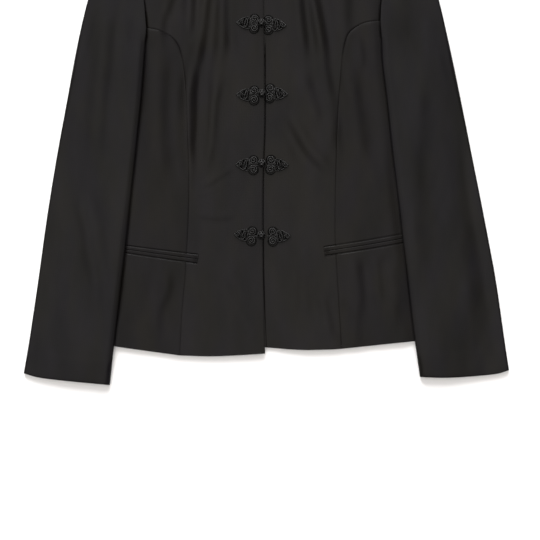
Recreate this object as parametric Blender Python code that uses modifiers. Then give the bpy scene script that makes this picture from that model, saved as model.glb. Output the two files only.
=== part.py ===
"""A woman's tang jacket, buttoned up and laid flat on its back with its sleeves drawn in over the sides.

Lengths are in millimetres until a mesh is made. x runs across the jacket from the centre front, to the wearer's left,
y runs up from the hem at the centre front, and z runs up from the surface that the jacket lies on. Right and left are
the wearer's, so the right half has negative x.
"""

import math

import bmesh
import bpy
import numpy as np

# ---- driving sizes ----
MM = 0.001
CLOTH = 1.5  # wall of each panel: suiting with its seam allowances
COLLAR_WALL = 2.0  # the stand is stiffened
SEAM_GAP = 0.3  # between two pieces that are sewn together
FOLD_GAP = 0.75  # the same at a folded edge, where the inner faces come closer than the outer ones
BODY_THICK = 6.0  # front on back, at the side folds
FRONT_TOP = 6.0  # the outer face of the fronts
LAP_STEP = 1.7  # how far the left front sinks to pass under the right front
LAP_RISE = 0.5  # and how far the right front rises
UNDERLAP = 12.0  # how far it reaches under
SLEEVE_THICK = 5.6  # upper sleeve on under sleeve
SLEEVE_LIFT = 6.7  # how far a sleeve rises to lie over the side of the body
PAST_HEM = 12.0  # how far past the hem it begins to come down
STAND_HEIGHT = 35.0
STAND_CORNER = 8.0  # the rounding of its ends at the centre front
FROG_CORD = 2.0  # thickness of the knotted cord
COIL_RADIUS = 5.8
BALL_RADIUS = 4.9
ON_PANEL = 0.4  # from a panel to what is sewn on it

BLACK_CLOTH = (0.022, 0.021, 0.021)
BLACK_CORD = (0.012, 0.012, 0.012)

# ---- cut lines, as points to draw a smooth line through ----
# The centre front edge of the right front: x, y
CENTRE_FRONT = [
    (1.5, -0.8),
    (-1.0, 70.0),
    (-2.3, 145.0),
    (-2.2, 240.0),
    (0.0, 310.0),
    (0.2, 385.0),
    (-0.7, 470.0),
    (-0.6, 562.0),
]
FRONT_NECK_Y = 562.0
NECK_SIDE = (76.0, 625.0)  # where the neck meets the shoulder
SHOULDER_TIP = (185.0, 586.5)

# One row for each height of the body: y, then x of the side fold of the right and of the left.
SIDE_FOLD = [
    (18.0, -243.0, 243.0),
    (80.0, -226.0, 226.0),
    (145.0, -212.0, 212.0),
    (250.0, -200.0, 200.0),
    (320.0, -212.0, 212.0),
    (381.0, -223.6, 223.6),
]
# Hems from the centre out, of each front and then of each side front; and the back's: x, y
RIGHT_FRONT_HEM = [(1.5, -0.8), (-33.0, -3.0), (-74.5, -4.6), (-115.9, -3.4)]
RIGHT_SIDE_HEM = [(-115.9, -3.4), (-157.3, 2.2), (-204.0, 9.0), (-243.0, 18.0)]
LEFT_FRONT_HEM = [(-UNDERLAP, 8.0), (2.8, 7.6), (50.0, 4.2), (91.0, 4.8), (107.5, 6.2)]
LEFT_SIDE_HEM = [(107.5, 6.2), (132.5, 8.4), (204.0, 15.8), (243.0, 18.0)]
BACK_HEM = [(-243.0, 18.0), (-200.0, 14.5), (-100.0, 9.5), (0.0, 10.0), (100.0, 10.5), (200.0, 16.5), (243.0, 18.0)]
# Necklines from the centre front out to the side of the neck, and the back's: x, y
RIGHT_NECKLINE = [(-0.6, 562.0), (-31.0, 567.0), (-59.0, 589.0), (-76.0, 625.0)]
LEFT_NECKLINE = [(-UNDERLAP, 562.6), (0.6, 562.0), (31.0, 567.0), (59.0, 589.0), (76.0, 625.0)]
BACK_NECKLINE = [(-76.0, 625.0), (-52.0, 612.0), (0.0, 607.0), (52.0, 612.0), (76.0, 625.0)]
# The shaped seam from the hem up to the armhole: x, y
RIGHT_SHAPED_SEAM = [
    (-115.9, -3.4),
    (-113.2, 59.3),
    (-107.6, 124.2),
    (-103.5, 211.0),
    (-104.9, 303.6),
    (-109.7, 381.0),
    (-116.0, 418.0),
    (-127.5, 435.5),
    (-144.0, 444.8),
    (-162.2, 448.5),
]
LEFT_SHAPED_SEAM = [
    (107.5, 5.8),
    (104.9, 49.7),
    (100.3, 118.7),
    (98.0, 190.0),
    (102.0, 325.0),
    (106.3, 394.7),
    (111.8, 427.8),
    (119.5, 443.5),
    (137.0, 455.0),
    (160.4, 458.9),
]
# The front armhole, from the shoulder tip to the end of the shaped seam, and on to the underarm: x, y
RIGHT_ARMHOLE = [(-185.0, 586.5), (-172.5, 540.0), (-165.6, 487.0), (-162.2, 448.5)]
LEFT_ARMHOLE = [(185.0, 586.5), (171.0, 540.0), (162.2, 487.0), (160.4, 458.9)]
RIGHT_UNDERARM_CURVE = [(-163.4, 430.0), (-179.0, 411.0), (-200.0, 396.0), (-223.6, 381.0)]
LEFT_UNDERARM_CURVE = [(161.5, 436.0), (177.0, 415.0), (199.0, 398.0), (223.6, 381.0)]
# The back armhole, the same on both sides: distance from the centre, y
BACK_ARMHOLE = [(223.6, 381.0), (206.0, 399.0), (191.0, 450.0), (184.0, 520.0), (185.0, 586.5)]

# Sleeves: the outer fold from the shoulder tip to the cuff, and the inner fold from the underarm curve to the cuff.
RIGHT_OUTER_FOLD = [
    (-186.2, 587.4),
    (-212.0, 560.0),
    (-230.0, 527.0),
    (-243.2, 487.1),
    (-256.2, 431.9),
    (-271.7, 349.1),
    (-286.9, 266.3),
    (-300.2, 183.5),
    (-311.7, 100.7),
    (-324.0, 17.9),
    (-331.8, -28.0),
]
LEFT_OUTER_FOLD = [
    (186.2, 587.4),
    (211.0, 560.0),
    (228.5, 527.0),
    (241.5, 487.1),
    (254.3, 431.9),
    (271.7, 349.1),
    (288.3, 266.3),
    (304.7, 183.5),
    (320.0, 100.7),
    (332.0, 17.9),
    (338.3, -23.8),
]
RIGHT_INNER_FOLD = [
    (-163.4, 430.0),
    (-165.6, 400.0),
    (-169.7, 349.1),
    (-178.2, 266.3),
    (-187.0, 183.5),
    (-196.2, 100.7),
    (-205.0, 24.8),
    (-212.8, -44.2),
]
LEFT_INNER_FOLD = [
    (161.5, 436.0),
    (163.0, 400.0),
    (169.1, 349.1),
    (178.2, 266.3),
    (187.9, 183.5),
    (197.6, 100.7),
    (206.8, 24.8),
    (215.3, -33.1),
]
RIGHT_CUFF = [(-331.8, -28.0), (-310.0, -34.0), (-268.0, -39.0), (-212.8, -44.2)]
LEFT_CUFF = [(338.3, -23.8), (316.0, -29.5), (258.0, -34.0), (215.3, -33.1)]

# The largest folds of the fronts. A row is one soft trough or ridge: where it starts, its middle and its end (x, y),
# its half width, and its height, which is negative for a trough.
FOLDS = [
    # start_x, start_y, mid_x, mid_y, end_x, end_y, half_width, height
    (-52.0, 480.0, -70.0, 404.0, -92.0, 236.0, 9.0, -1.5),
    (-38.0, 480.0, -52.0, 420.0, -66.0, 330.0, 9.0, 0.7),
    (-76.0, 480.0, -85.0, 404.0, -98.0, 320.0, 8.0, -1.2),
    (-100.0, 225.0, -65.0, 236.0, -40.0, 252.0, 7.0, -1.0),
    (73.0, 484.0, 91.0, 428.0, 101.0, 372.0, 9.0, -1.5),
    (52.0, 480.0, 62.0, 450.0, 74.0, 418.0, 8.0, -1.2),
    (36.0, 322.0, 77.0, 266.0, 90.0, 240.0, 9.0, -0.8),
    (-70.0, 128.0, -40.0, 82.0, -15.0, 36.0, 9.0, -0.9),
    (45.0, 97.0, 50.0, 50.0, 52.0, 8.0, 8.0, -0.9),
]

# Jetted pockets: each pocket line from its inner to its outer end.
RIGHT_POCKET = [(-91.0, 129.5), (-145.0, 136.5), (-202.0, 144.5)]
LEFT_POCKET = [(83.0, 140.0), (142.0, 149.0), (196.0, 158.5)]
WELT_WIDTH = 5.2
WELT_WALL = 1.0

# How far the stand leans towards the middle: share of the neckline from the centre front, or of the back neckline
# from the wearer's right, and degrees. It is folded along a line that leans as much as its ends at the shoulder do.
FOLD_LEAN = 35.0
FRONT_LEAN = [(0.0, 0.0), (0.15, 2.0), (0.45, 30.0), (0.8, 50.0), (1.0, FOLD_LEAN)]
BACK_LEAN = [(0.0, FOLD_LEAN), (0.2, 12.0), (0.5, 0.0), (0.8, -12.0), (1.0, -FOLD_LEAN)]

# The frogs from the top down: the height of each, where its ball knot sits, and where the pair of coils of each half
# is centred. x is measured from the centre front, a rise from the frog's own height, and a turn is in degrees.
FROG_ROWS = [
    # y, ball_x, ball_rise, loop_x, loop_rise, loop_turn, knot_x, knot_rise, knot_turn
    (548.8, -2.6, 1.0, -13.2, 0.0, 0.0, 9.5, 0.0, 0.0),
    (453.3, -3.0, 1.6, -12.8, 1.2, 3.0, 7.6, 0.0, -3.0),
    (356.7, -3.0, 1.0, -13.9, -1.2, 2.0, 7.9, 1.8, -5.0),
    (260.8, -1.4, 0.6, -12.9, -1.4, 1.0, 11.0, -0.8, -3.0),
    (162.8, -1.4, -0.4, -14.4, -1.4, 6.0, 14.6, -1.8, 0.0),
]


# ---- lines ----
def smooth_line(points, per_span=14):
    """A smooth line through the points (Catmull-Rom), as an array of x, y."""
    p = np.array(points, float)
    if len(p) == 2:
        return np.linspace(p[0], p[1], 2 * per_span)
    p = np.vstack([2 * p[0] - p[1], p, 2 * p[-1] - p[-2]])
    t = np.linspace(0, 1, per_span, endpoint=False)[:, None]
    parts = []
    for a, b, c, d in zip(p, p[1:], p[2:], p[3:]):
        parts.append(0.5 * (2 * b + (c - a) * t + (2 * a - 5 * b + 4 * c - d) * t**2 + (3 * b - a - 3 * c + d) * t**3))
    return np.vstack([*parts, p[-2:-1]])


def joined(*lines):
    """One line from several that follow each other."""
    return np.vstack([lines[0]] + [line[1:] for line in lines[1:]])


def along(line, share):
    """The points at these shares of a line's length."""
    step = np.linalg.norm(np.diff(line, axis=0), axis=1)
    reach = np.concatenate([[0], np.cumsum(step)]) / step.sum()
    return np.stack([np.interp(share, reach, line[:, k]) for k in range(line.shape[1])], axis=-1)


def kinked(lines, kinks, share):
    """Points along lines that follow each other. Each one after the first starts at the share that kinks gives."""
    bounds = [0.0, *kinks, 1.0]
    out = np.zeros((len(share), lines[0].shape[1]))
    for line, low, high in zip(lines, bounds, bounds[1:]):
        inside = (share >= low - 1e-9) & (share <= high + 1e-9)
        out[inside] = along(line, np.clip((share[inside] - low) / (high - low), 0, 1))
    return out


def beside(line, distance):
    """The line moved sideways, to its left when distance is positive."""
    way = np.gradient(line, axis=0)
    way /= np.linalg.norm(way, axis=1)[:, None]
    return line + distance * np.stack([-way[:, 1], way[:, 0]], axis=1)


def nearest(x, y, line):
    """Distance from each place to a line, and the cross product that says on which side it lies."""
    p = np.stack([np.ravel(x), np.ravel(y)], axis=1)
    best = np.full(len(p), 1e9)
    side = np.zeros(len(p))
    for a, b in zip(line, line[1:]):
        run = b - a
        t = np.clip((p - a) @ run / (run @ run), 0, 1)
        away = p - (a + t[:, None] * run)
        distance = np.linalg.norm(away, axis=1)
        closer = distance < best - 1e-9
        best = np.where(closer, distance, best)
        side = np.where(closer, run[0] * away[:, 1] - run[1] * away[:, 0], side)
    return best.reshape(np.shape(x)), side.reshape(np.shape(x))


def soft_step(value):
    """0 below 0, 1 above 1, and smooth between."""
    t = np.clip(value, 0, 1)
    return t * t * (3 - 2 * t)


# ---- the lie of the jacket: how high each layer is at a place ----
# A side is -1 for the wearer's right and 1 for the left.
SIDES = (-1, 1)


def half(side, right, left):
    return right if side < 0 else left


SIDE_LINES = {side: smooth_line([(half(side, right, left), y) for y, right, left in SIDE_FOLD]) for side in SIDES}
SHOULDERS = {side: np.array([SHOULDER_TIP, NECK_SIDE]) * (side, 1) for side in SIDES}
UNDERARM_CURVES = {side: smooth_line(half(side, RIGHT_UNDERARM_CURVE, LEFT_UNDERARM_CURVE)) for side in SIDES}
ARMHOLES = {side: smooth_line(half(side, RIGHT_ARMHOLE, LEFT_ARMHOLE)) for side in SIDES}
BACK_ARMHOLES = {side: smooth_line(np.array(BACK_ARMHOLE) * (side, 1)) for side in SIDES}
SHAPED_SEAMS = {side: smooth_line(half(side, RIGHT_SHAPED_SEAM, LEFT_SHAPED_SEAM)) for side in SIDES}
NECKLINES = {side: smooth_line(half(side, RIGHT_NECKLINE, LEFT_NECKLINE)) for side in SIDES}
OUTER_FOLDS = {side: smooth_line(half(side, RIGHT_OUTER_FOLD, LEFT_OUTER_FOLD)) for side in SIDES}
INNER_FOLDS = {side: smooth_line(half(side, RIGHT_INNER_FOLD, LEFT_INNER_FOLD)) for side in SIDES}
CUFFS = {side: smooth_line(half(side, RIGHT_CUFF, LEFT_CUFF)) for side in SIDES}
SIDE_HEMS = {side: smooth_line(half(side, RIGHT_SIDE_HEM, LEFT_SIDE_HEM)) for side in SIDES}
POCKETS = {side: smooth_line(half(side, RIGHT_POCKET, LEFT_POCKET)) for side in SIDES}


def fold_drop(edge_distance, radius):
    """How far a panel turns down towards a folded edge, as a quarter circle."""
    left = np.clip(radius - edge_distance, 0, radius)
    return radius - np.sqrt(radius**2 - left**2)


def body_edge(x, y, side):
    """Distance from the nearest folded edge of the body: its side or its shoulder."""
    return np.minimum(nearest(x, y, SIDE_LINES[side])[0], nearest(x, y, SHOULDERS[side])[0])


def crease_height(x, y):
    """The soft folds of the fronts."""
    height = np.zeros(np.shape(x))
    for x0, y0, x1, y1, x2, y2, width, depth in FOLDS:
        line = smooth_line([(x0, y0), (x1, y1), (x2, y2)], 8)
        distance = nearest(x, y, line)[0]
        height += depth * np.exp(-((distance / width) ** 2))
    return height


BODY_FOLD = (BODY_THICK - FOLD_GAP) / 2  # the radius of a folded edge of the body


def front_height(x, y, side):
    """The outer face of a front. Past the centre front the left front sinks, to pass under the right front."""
    top = FRONT_TOP + crease_height(x, y) - fold_drop(body_edge(x, y, side), BODY_FOLD)
    if side > 0:
        return top - LAP_STEP * soft_step((16.0 - x) / 12.0)
    return top + LAP_RISE * soft_step((x + 26.0) / 18.0)


def over_body(x, y, side, inside, outside):
    """1 where a sleeve lies over the side of the body, and 0 where it lies on the surface beside it.

    It slopes from inside to outside, which are distances past the outline of the body."""
    below_hem = SIDE_HEMS[side][::-1] - (0.0, PAST_HEM)
    outline = joined(UNDERARM_CURVES[side], SIDE_LINES[side][::-1], below_hem)
    distance, turn = nearest(x, y, outline)
    signed = np.where(turn * side > 0, 1, -1) * distance
    return soft_step((outside - signed) / (outside - inside))


def pocket_rise(x, y, side, width):
    """How much more a sleeve rises where it crosses the welts of the pocket."""
    return 1.5 * np.exp(-((nearest(x, y, POCKETS[side])[0] / width) ** 2))


def sleeve_base(x, y, side):
    """The lower face of an under sleeve and the upper face of an upper sleeve, before their edges are folded."""
    low = (SLEEVE_LIFT + pocket_rise(x, y, side, 28.0)) * over_body(x, y, side, 1.0, 24.0)
    rise = (SLEEVE_LIFT + SEAM_GAP + pocket_rise(x, y, side, 45.0)) * over_body(x, y, side, -8.0, 38.0)
    return low, SLEEVE_THICK + rise


def sleeve_height(x, y, side, upper):
    """A sleeve's outer face, with both edges of the flat tube turned in to half its height. It thins to its tip."""
    low, high = sleeve_base(x, y, side)
    edge = np.minimum(nearest(x, y, OUTER_FOLDS[side])[0], nearest(x, y, INNER_FOLDS[side])[0])
    from_tip = np.hypot(x - OUTER_FOLDS[side][0, 0], y - OUTER_FOLDS[side][0, 1])
    thinner_tip = 1 - 0.45 * np.exp(-((from_tip / 9.0) ** 2))
    radius = (high - low - FOLD_GAP) / 2 * thinner_tip
    drop = fold_drop(edge, radius)
    return high - drop if upper else low + drop


# ---- making pieces ----
for thing in list(bpy.data.objects):
    bpy.data.objects.remove(thing, do_unlink=True)
jacket = bpy.data.collections.new("tang_jacket")
bpy.context.scene.collection.children.link(jacket)


def finish(name, colour, roughness):
    material = bpy.data.materials.new(name)
    material.use_nodes = True
    shader = material.node_tree.nodes["Principled BSDF"]
    shader.inputs["Base Color"].default_value = (*colour, 1)
    shader.inputs["Roughness"].default_value = roughness
    shader.inputs["Metallic"].default_value = 0.0
    return material


def place(name, mesh, colour, roughness=0.85):
    piece = bpy.data.objects.new(name, mesh)
    piece.data.materials.append(finish(f"{name}_finish", colour, roughness))
    jacket.objects.link(piece)
    return piece


def cloth(name, sheets, wall, face_up=True):
    """A panel from its outer face, which is one or more sheets: grids laid over rows of points.

    Sheets that share an edge are joined, and the panel gets its wall on the inner side."""
    shape = bmesh.new()
    for points in sheets:
        rows, columns = points.shape[:2]
        made = bmesh.ops.create_grid(shape, x_segments=columns - 1, y_segments=rows - 1, size=1.0)
        for vertex in made["verts"]:
            column = round((vertex.co.x + 1) / 2 * (columns - 1))
            row = round((vertex.co.y + 1) / 2 * (rows - 1))
            vertex.co = points[row, column] * MM
    bmesh.ops.remove_doubles(shape, verts=shape.verts, dist=1e-5)
    bmesh.ops.recalc_face_normals(shape, faces=shape.faces)
    if (sum(face.normal.z * face.calc_area() for face in shape.faces) > 0) != face_up:
        bmesh.ops.reverse_faces(shape, faces=shape.faces)
    mesh = bpy.data.meshes.new(name)
    shape.to_mesh(mesh)
    shape.free()
    piece = place(name, mesh, BLACK_CLOTH)
    solidify = piece.modifiers.new("wall", "SOLIDIFY")
    solidify.thickness = wall * MM
    solidify.offset = -1.0
    mesh.shade_smooth()
    return piece


def patch(bottom, top, left, right, u, v):
    """Places in plan between four lines that meet at the corners (a Coons patch).

    Rows are at the shares v of the left and right lines, and columns at the shares u of the others. The curve of the
    top line soon dies away below it, so that no row is as steep as the columns where it turns up beside the neck."""
    bottom[[0, -1]] = left[0], right[0]
    top[[0, -1]] = left[-1], right[-1]
    u = u[None, :, None]
    topness = v[:, None, None] ** 3
    across = (1 - topness) * bottom[None] + topness * top[None]
    upwards = (1 - u) * left[:, None] + u * right[:, None]
    bottom_chord = (1 - u) * bottom[0] + u * bottom[-1]
    top_chord = (1 - u) * top[0] + u * top[-1]
    return across + upwards - (1 - topness) * bottom_chord - topness * top_chord


def lifted(plan, height):
    """The plan's places with their heights."""
    return np.concatenate([plan, height(plan[..., 0], plan[..., 1])[..., None]], axis=-1)


# Where a folded edge needs points, as distances from it in radii of the fold.
FOLD_STATIONS = np.array([1.0, 0.293, 0.034, 0.0])


def even(count):
    return np.linspace(0, 1, count)


def shares(inner, width, start=True, end=True):
    """The inner shares of a sheet of this width, with the stations of a folded edge at its start, its end or both."""
    stations = FOLD_STATIONS * BODY_FOLD / width
    head = stations[::-1] if start else stations[:0]
    tail = 1 - stations if end else stations[:0]
    low = stations[0] + 0.004 if start else -1.0
    high = 1 - stations[0] - 0.004 if end else 2.0
    return np.concatenate([head, [share for share in inner if low < share < high], tail])


# ---- the panels ----
NAMES = {-1: "right", 1: "left"}
NECK_SHARE = 0.42  # of a front's top edge, the rest is its shoulder
SEAM_SHARE = 0.77  # of a front's outer edge, the rest is its armhole
NECK_COLUMNS = np.array([0, 0.12, 0.26, 0.42, 0.6, 0.8, 1.0])  # as shares of the front neckline
FRONT_COLUMNS = np.concatenate([NECK_COLUMNS * NECK_SHARE, np.linspace(0.5, 1, 7)])
BACK_NECK_COLUMNS = np.linspace(0, 1, 7)
ARMHOLE_ROWS = np.array([0, 0.08, 0.2, 0.36, 0.56, 0.78, 1.0])  # from the shoulder tip to the shaped seam
SEAM_ROWS = np.concatenate([np.linspace(0, 0.84, 15), np.linspace(0.875, 1, 6)])  # closer where the seam curves
BACK_ROWS = np.concatenate([np.linspace(0, 0.62, 12), np.linspace(0.68, 0.96, 5)])


def make_front(side):
    seam = beside(SHAPED_SEAMS[side], side * SEAM_GAP / 2)
    armhole = joined(seam[-1:], ARMHOLES[side][-2::-1])
    edge = smooth_line(half(side, CENTRE_FRONT, [(-UNDERLAP, 8.0), (-UNDERLAP, FRONT_NECK_Y + 0.6)]))
    hem = smooth_line(half(side, RIGHT_FRONT_HEM, LEFT_FRONT_HEM))
    u = FRONT_COLUMNS
    armhole_rows = 1 - (1 - SEAM_SHARE) * ARMHOLE_ROWS[-2::-1]
    v = np.concatenate([SEAM_ROWS * SEAM_SHARE, shares(armhole_rows, 560.0, start=False)])
    plan = patch(
        along(hem, u),
        kinked([NECKLINES[side], SHOULDERS[side][::-1]], [NECK_SHARE], u),
        along(edge, v),
        kinked([seam, armhole], [SEAM_SHARE], v),
        u,
        v,
    )
    cloth(f"{NAMES[side]}_front", [lifted(plan, lambda x, y: front_height(x, y, side))], CLOTH)


def make_side_front(side):
    seam = beside(SHAPED_SEAMS[side], -side * SEAM_GAP / 2)
    armhole = np.array([seam[-1], UNDERARM_CURVES[side][0]])
    u = shares(even(8), 105.0, start=False)
    v = SEAM_ROWS
    plan = patch(
        along(SIDE_HEMS[side], u),
        kinked([armhole, UNDERARM_CURVES[side]], [u[1]], u),
        along(seam, v),
        along(SIDE_LINES[side], v),
        u,
        v,
    )
    cloth(f"{NAMES[side]}_side_front", [lifted(plan, lambda x, y: front_height(x, y, side))], CLOTH)


def back_height(x, y):
    edges = [SIDE_LINES[-1], SIDE_LINES[1], SHOULDERS[-1], SHOULDERS[1]]
    return fold_drop(np.min([nearest(x, y, edge)[0] for edge in edges], axis=0), BODY_FOLD)


def make_back():
    shoulder_share = 0.31
    underarm_share = 0.62
    shoulder = np.linspace(0, shoulder_share, 5)
    neck = shoulder_share + BACK_NECK_COLUMNS[1:-1] * (1 - 2 * shoulder_share)
    u = shares(np.concatenate([shoulder, neck, 1 - shoulder[::-1]]), 430.0)
    v = shares(BACK_ROWS, 600.0, start=False)
    top = [SHOULDERS[-1], smooth_line(BACK_NECKLINE), SHOULDERS[1][::-1]]
    plan = patch(
        along(smooth_line(BACK_HEM), u),
        kinked(top, [shoulder_share, 1 - shoulder_share], u),
        kinked([SIDE_LINES[-1], BACK_ARMHOLES[-1]], [underarm_share], v),
        kinked([SIDE_LINES[1], BACK_ARMHOLES[1]], [underarm_share], v),
        u,
        v,
    )
    cloth("back", [lifted(plan, back_height)], CLOTH, face_up=False)


# ---- sleeves ----
CUFF_ROWS = np.concatenate([np.linspace(0, 0.8, 11), np.linspace(0.828, 1, 8)])  # from the underarm, closer at the hem


def make_upper_sleeve(side):
    """From the armhole seam and the inner fold across to the outer fold, coming to a point at the shoulder tip."""
    cap = beside(ARMHOLES[side], side * SEAM_GAP)
    cap[0] = OUTER_FOLDS[side][0]
    to_fold = np.array([cap[-1], INNER_FOLDS[side][0]])
    cap_share = 0.22
    fold_share = 0.25
    u = shares(even(11), 110.0)
    v = np.concatenate([[0, 0.012], ARMHOLE_ROWS[1:] * cap_share, fold_share + (1 - fold_share) * CUFF_ROWS])
    plan = patch(
        np.repeat(OUTER_FOLDS[side][:1], len(u), axis=0),
        along(CUFFS[side], u),
        along(OUTER_FOLDS[side], v),
        kinked([cap, to_fold, INNER_FOLDS[side]], [cap_share, fold_share], v),
        u,
        v,
    )
    cloth(f"{NAMES[side]}_upper_sleeve", [lifted(plan, lambda x, y: sleeve_height(x, y, side, True))], CLOTH)


def cuff_share(side, x):
    """How far along the cuff, from the outer fold, a place with this x is."""
    cuff = CUFFS[side][::-1]
    return 1 - np.interp(side * x, side * cuff[:, 0], even(len(cuff)))


def make_under_sleeve(side):
    """Beside the body it lies on the surface and follows the back armhole.

    It then slopes up, and over the body it ends at the underarm curve."""
    notch_share = 0.33
    v = np.concatenate([[0, 0.012, 0.03, 0.06, 0.1, 0.15, 0.21, 0.27], notch_share + (1 - notch_share) * CUFF_ROWS])
    body_side = smooth_line([*SIDE_LINES[side][::-14], (side * 250.0, -36.0)])
    foot = beside(body_side, side * 25.0)  # where the slope begins
    foot[0] = (side * 231.0, 385.0)
    shelf = beside(body_side, -side * 1.0)  # where it ends
    foot_share, shelf_share = cuff_share(side, foot[-1, 0]), cuff_share(side, shelf[-1, 0])
    foot[-1], shelf[-1] = along(CUFFS[side], [foot_share, shelf_share])
    armhole = beside(BACK_ARMHOLES[side], -side * 2 * SEAM_GAP)[::-1]
    above_underarm = armhole[armhole[:, 1] > 408]
    armhole = joined(OUTER_FOLDS[side][:1], above_underarm[1:], foot[:1])
    outer = shares(even(5), 80.0, end=False)
    slope = even(5)
    inner = shares(even(4), 42.0, start=False)
    beside_body = patch(
        np.repeat(OUTER_FOLDS[side][:1], len(outer), axis=0),
        along(CUFFS[side], outer * foot_share),
        along(OUTER_FOLDS[side], v),
        kinked([armhole, foot], [notch_share], v),
        outer,
        v,
    )
    on_slope = patch(
        along(np.array([foot[0], shelf[0]]), slope),
        along(CUFFS[side], foot_share + slope * (shelf_share - foot_share)),
        along(foot, CUFF_ROWS),
        along(shelf, CUFF_ROWS),
        slope,
        CUFF_ROWS,
    )
    on_body = patch(
        along(np.array([shelf[0], *UNDERARM_CURVES[side][-5::-1]]), inner),
        along(CUFFS[side], shelf_share + inner * (1 - shelf_share)),
        along(shelf, CUFF_ROWS),
        along(INNER_FOLDS[side], CUFF_ROWS),
        inner,
        CUFF_ROWS,
    )
    plans = (beside_body, on_slope, on_body)
    sheets = [lifted(plan, lambda x, y: sleeve_height(x, y, side, False)) for plan in plans]
    cloth(f"{NAMES[side]}_under_sleeve", sheets, CLOTH, face_up=False)


# ---- the stand collar ----
def stand_stretch(line, share, lean, height, toward, front):
    """The lower and upper edges of one stretch of the stand. Its outer face is on top in front and below behind."""
    foot = along(line, share)
    turn = np.radians(np.interp(share, *np.transpose(lean))) * toward
    way = np.stack([np.sin(turn), np.cos(turn)], axis=1)
    fold = math.radians(FOLD_LEAN)
    from_fold = (abs(foot[:, 0]) - NECK_SIDE[0]) * math.cos(fold) + (foot[:, 1] - NECK_SIDE[1]) * math.sin(fold)
    drop = fold_drop(abs(from_fold), BODY_THICK / 2)[:, None]
    z = BODY_THICK - drop if front else drop
    return np.hstack([foot + way * 2 * SEAM_GAP, z]), np.hstack([foot + way * height[:, None], z])


def front_stretch(side):
    """From the centre front, where the stand's end is rounded, to the side of the neck."""
    line = NECKLINES[side]
    length = np.linalg.norm(np.diff(line, axis=0), axis=1).sum()
    begins = half(side, 0.0, UNDERLAP + 0.6)
    corner = np.array([0.0, 1.0, 3.5, STAND_CORNER])
    columns = NECK_COLUMNS[1:-1] * length
    columns = columns[columns > begins + STAND_CORNER + 1.0]
    reach = np.concatenate([begins + corner, columns, length - FOLD_STATIONS * BODY_THICK / 2])
    height = STAND_HEIGHT - fold_drop(reach - begins, STAND_CORNER)
    return stand_stretch(line, reach / length, FRONT_LEAN, height, -side, True)


def make_collar():
    """A band that follows the whole neckline, folded at the sides of the neck. Its ends meet at the centre front."""
    back = smooth_line(BACK_NECKLINE)
    length = np.linalg.norm(np.diff(back, axis=0), axis=1).sum()
    near_fold = FOLD_STATIONS[2::-1] * BODY_THICK / 2 / length
    share = np.concatenate([near_fold, BACK_NECK_COLUMNS[1:-1], 1 - near_fold[::-1]])
    right_foot, right_top = front_stretch(-1)
    back_foot, back_top = stand_stretch(back, share, BACK_LEAN, np.full(len(share), STAND_HEIGHT), 1, False)
    left_foot, left_top = front_stretch(1)
    foot = np.vstack([right_foot, back_foot, left_foot[::-1]])
    top = np.vstack([right_top, back_top, left_top[::-1]])
    cloth("stand_collar", [np.stack([foot, (foot + top) / 2, top])], COLLAR_WALL)


# ---- pockets ----
def make_welts(side):
    """Two narrow strips along each pocket, one above and one below the pocket line."""
    across = np.array([0.0, 0.3, 0.7, 1.0]) * WELT_WIDTH + SEAM_GAP / 2
    edge_drop = np.array([0.35, 0.0, 0.0, 0.35])  # rounded along both edges
    for name, way in (("upper", side), ("lower", -side)):
        plan = np.array([along(beside(POCKETS[side], way * offset), even(9)) for offset in across])
        points = lifted(plan, lambda x, y: front_height(x, y, side) + ON_PANEL + WELT_WALL - edge_drop[:, None])
        cloth(f"{NAMES[side]}_pocket_{name}_welt", [points], WELT_WALL * 0.6)


# ---- frogs ----
def meshed(maker):
    """The maker's shape as a welded mesh object of its own, with the maker removed."""
    bpy.context.scene.collection.objects.link(maker)
    graph = bpy.context.evaluated_depsgraph_get()
    mesh = bpy.data.meshes.new_from_object(maker.evaluated_get(graph))
    shape = bmesh.new()
    shape.from_mesh(mesh)
    bmesh.ops.remove_doubles(shape, verts=shape.verts, dist=1e-6)
    bmesh.ops.recalc_face_normals(shape, faces=shape.faces)
    shape.to_mesh(mesh)
    shape.free()
    bpy.data.objects.remove(maker)
    return bpy.data.objects.new("shape", mesh)


def cord(points, thickness, closed=False):
    """A cord through the points."""
    curve = bpy.data.curves.new("cord", "CURVE")
    curve.dimensions = "3D"
    curve.bevel_depth = thickness / 2 * MM
    curve.bevel_resolution = 0
    curve.use_fill_caps = not closed
    spline = curve.splines.new("POLY")
    spline.points.add(len(points) - 1)
    for knot, point in zip(spline.points, np.array(points) * MM):
        knot.co = (*point, 1)
    spline.use_cyclic_u = closed
    return meshed(bpy.data.objects.new("cord", curve))


def cord_ring(x, y, z, radius, count, thickness):
    turn = np.linspace(0, 2 * math.pi, count, endpoint=False)
    return cord([(x + radius * math.cos(a), y + radius * math.sin(a), z) for a in turn], thickness, closed=True)


# A coil's radius and height, from its middle over its rim: r, z
COIL_PROFILE = [(0.0, 2.1), (3.0, 2.7), (5.0, 2.2), (COIL_RADIUS, 1.1), (5.2, 0.0), (0.0, 0.0)]
COIL_SPREAD = 6.6  # from the middle of the pair to each coil's centre
# The leaf of cord outside the coils, from its root round one edge to the tip: x, y
LEAF = [(2.5, 0.0), (5.6, 6.2), (11.5, 7.3), (18.5, 4.4), (24.6, 0.0)]
RING_RADIUS = 5.2  # of the loop that goes round the ball knot


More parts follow.
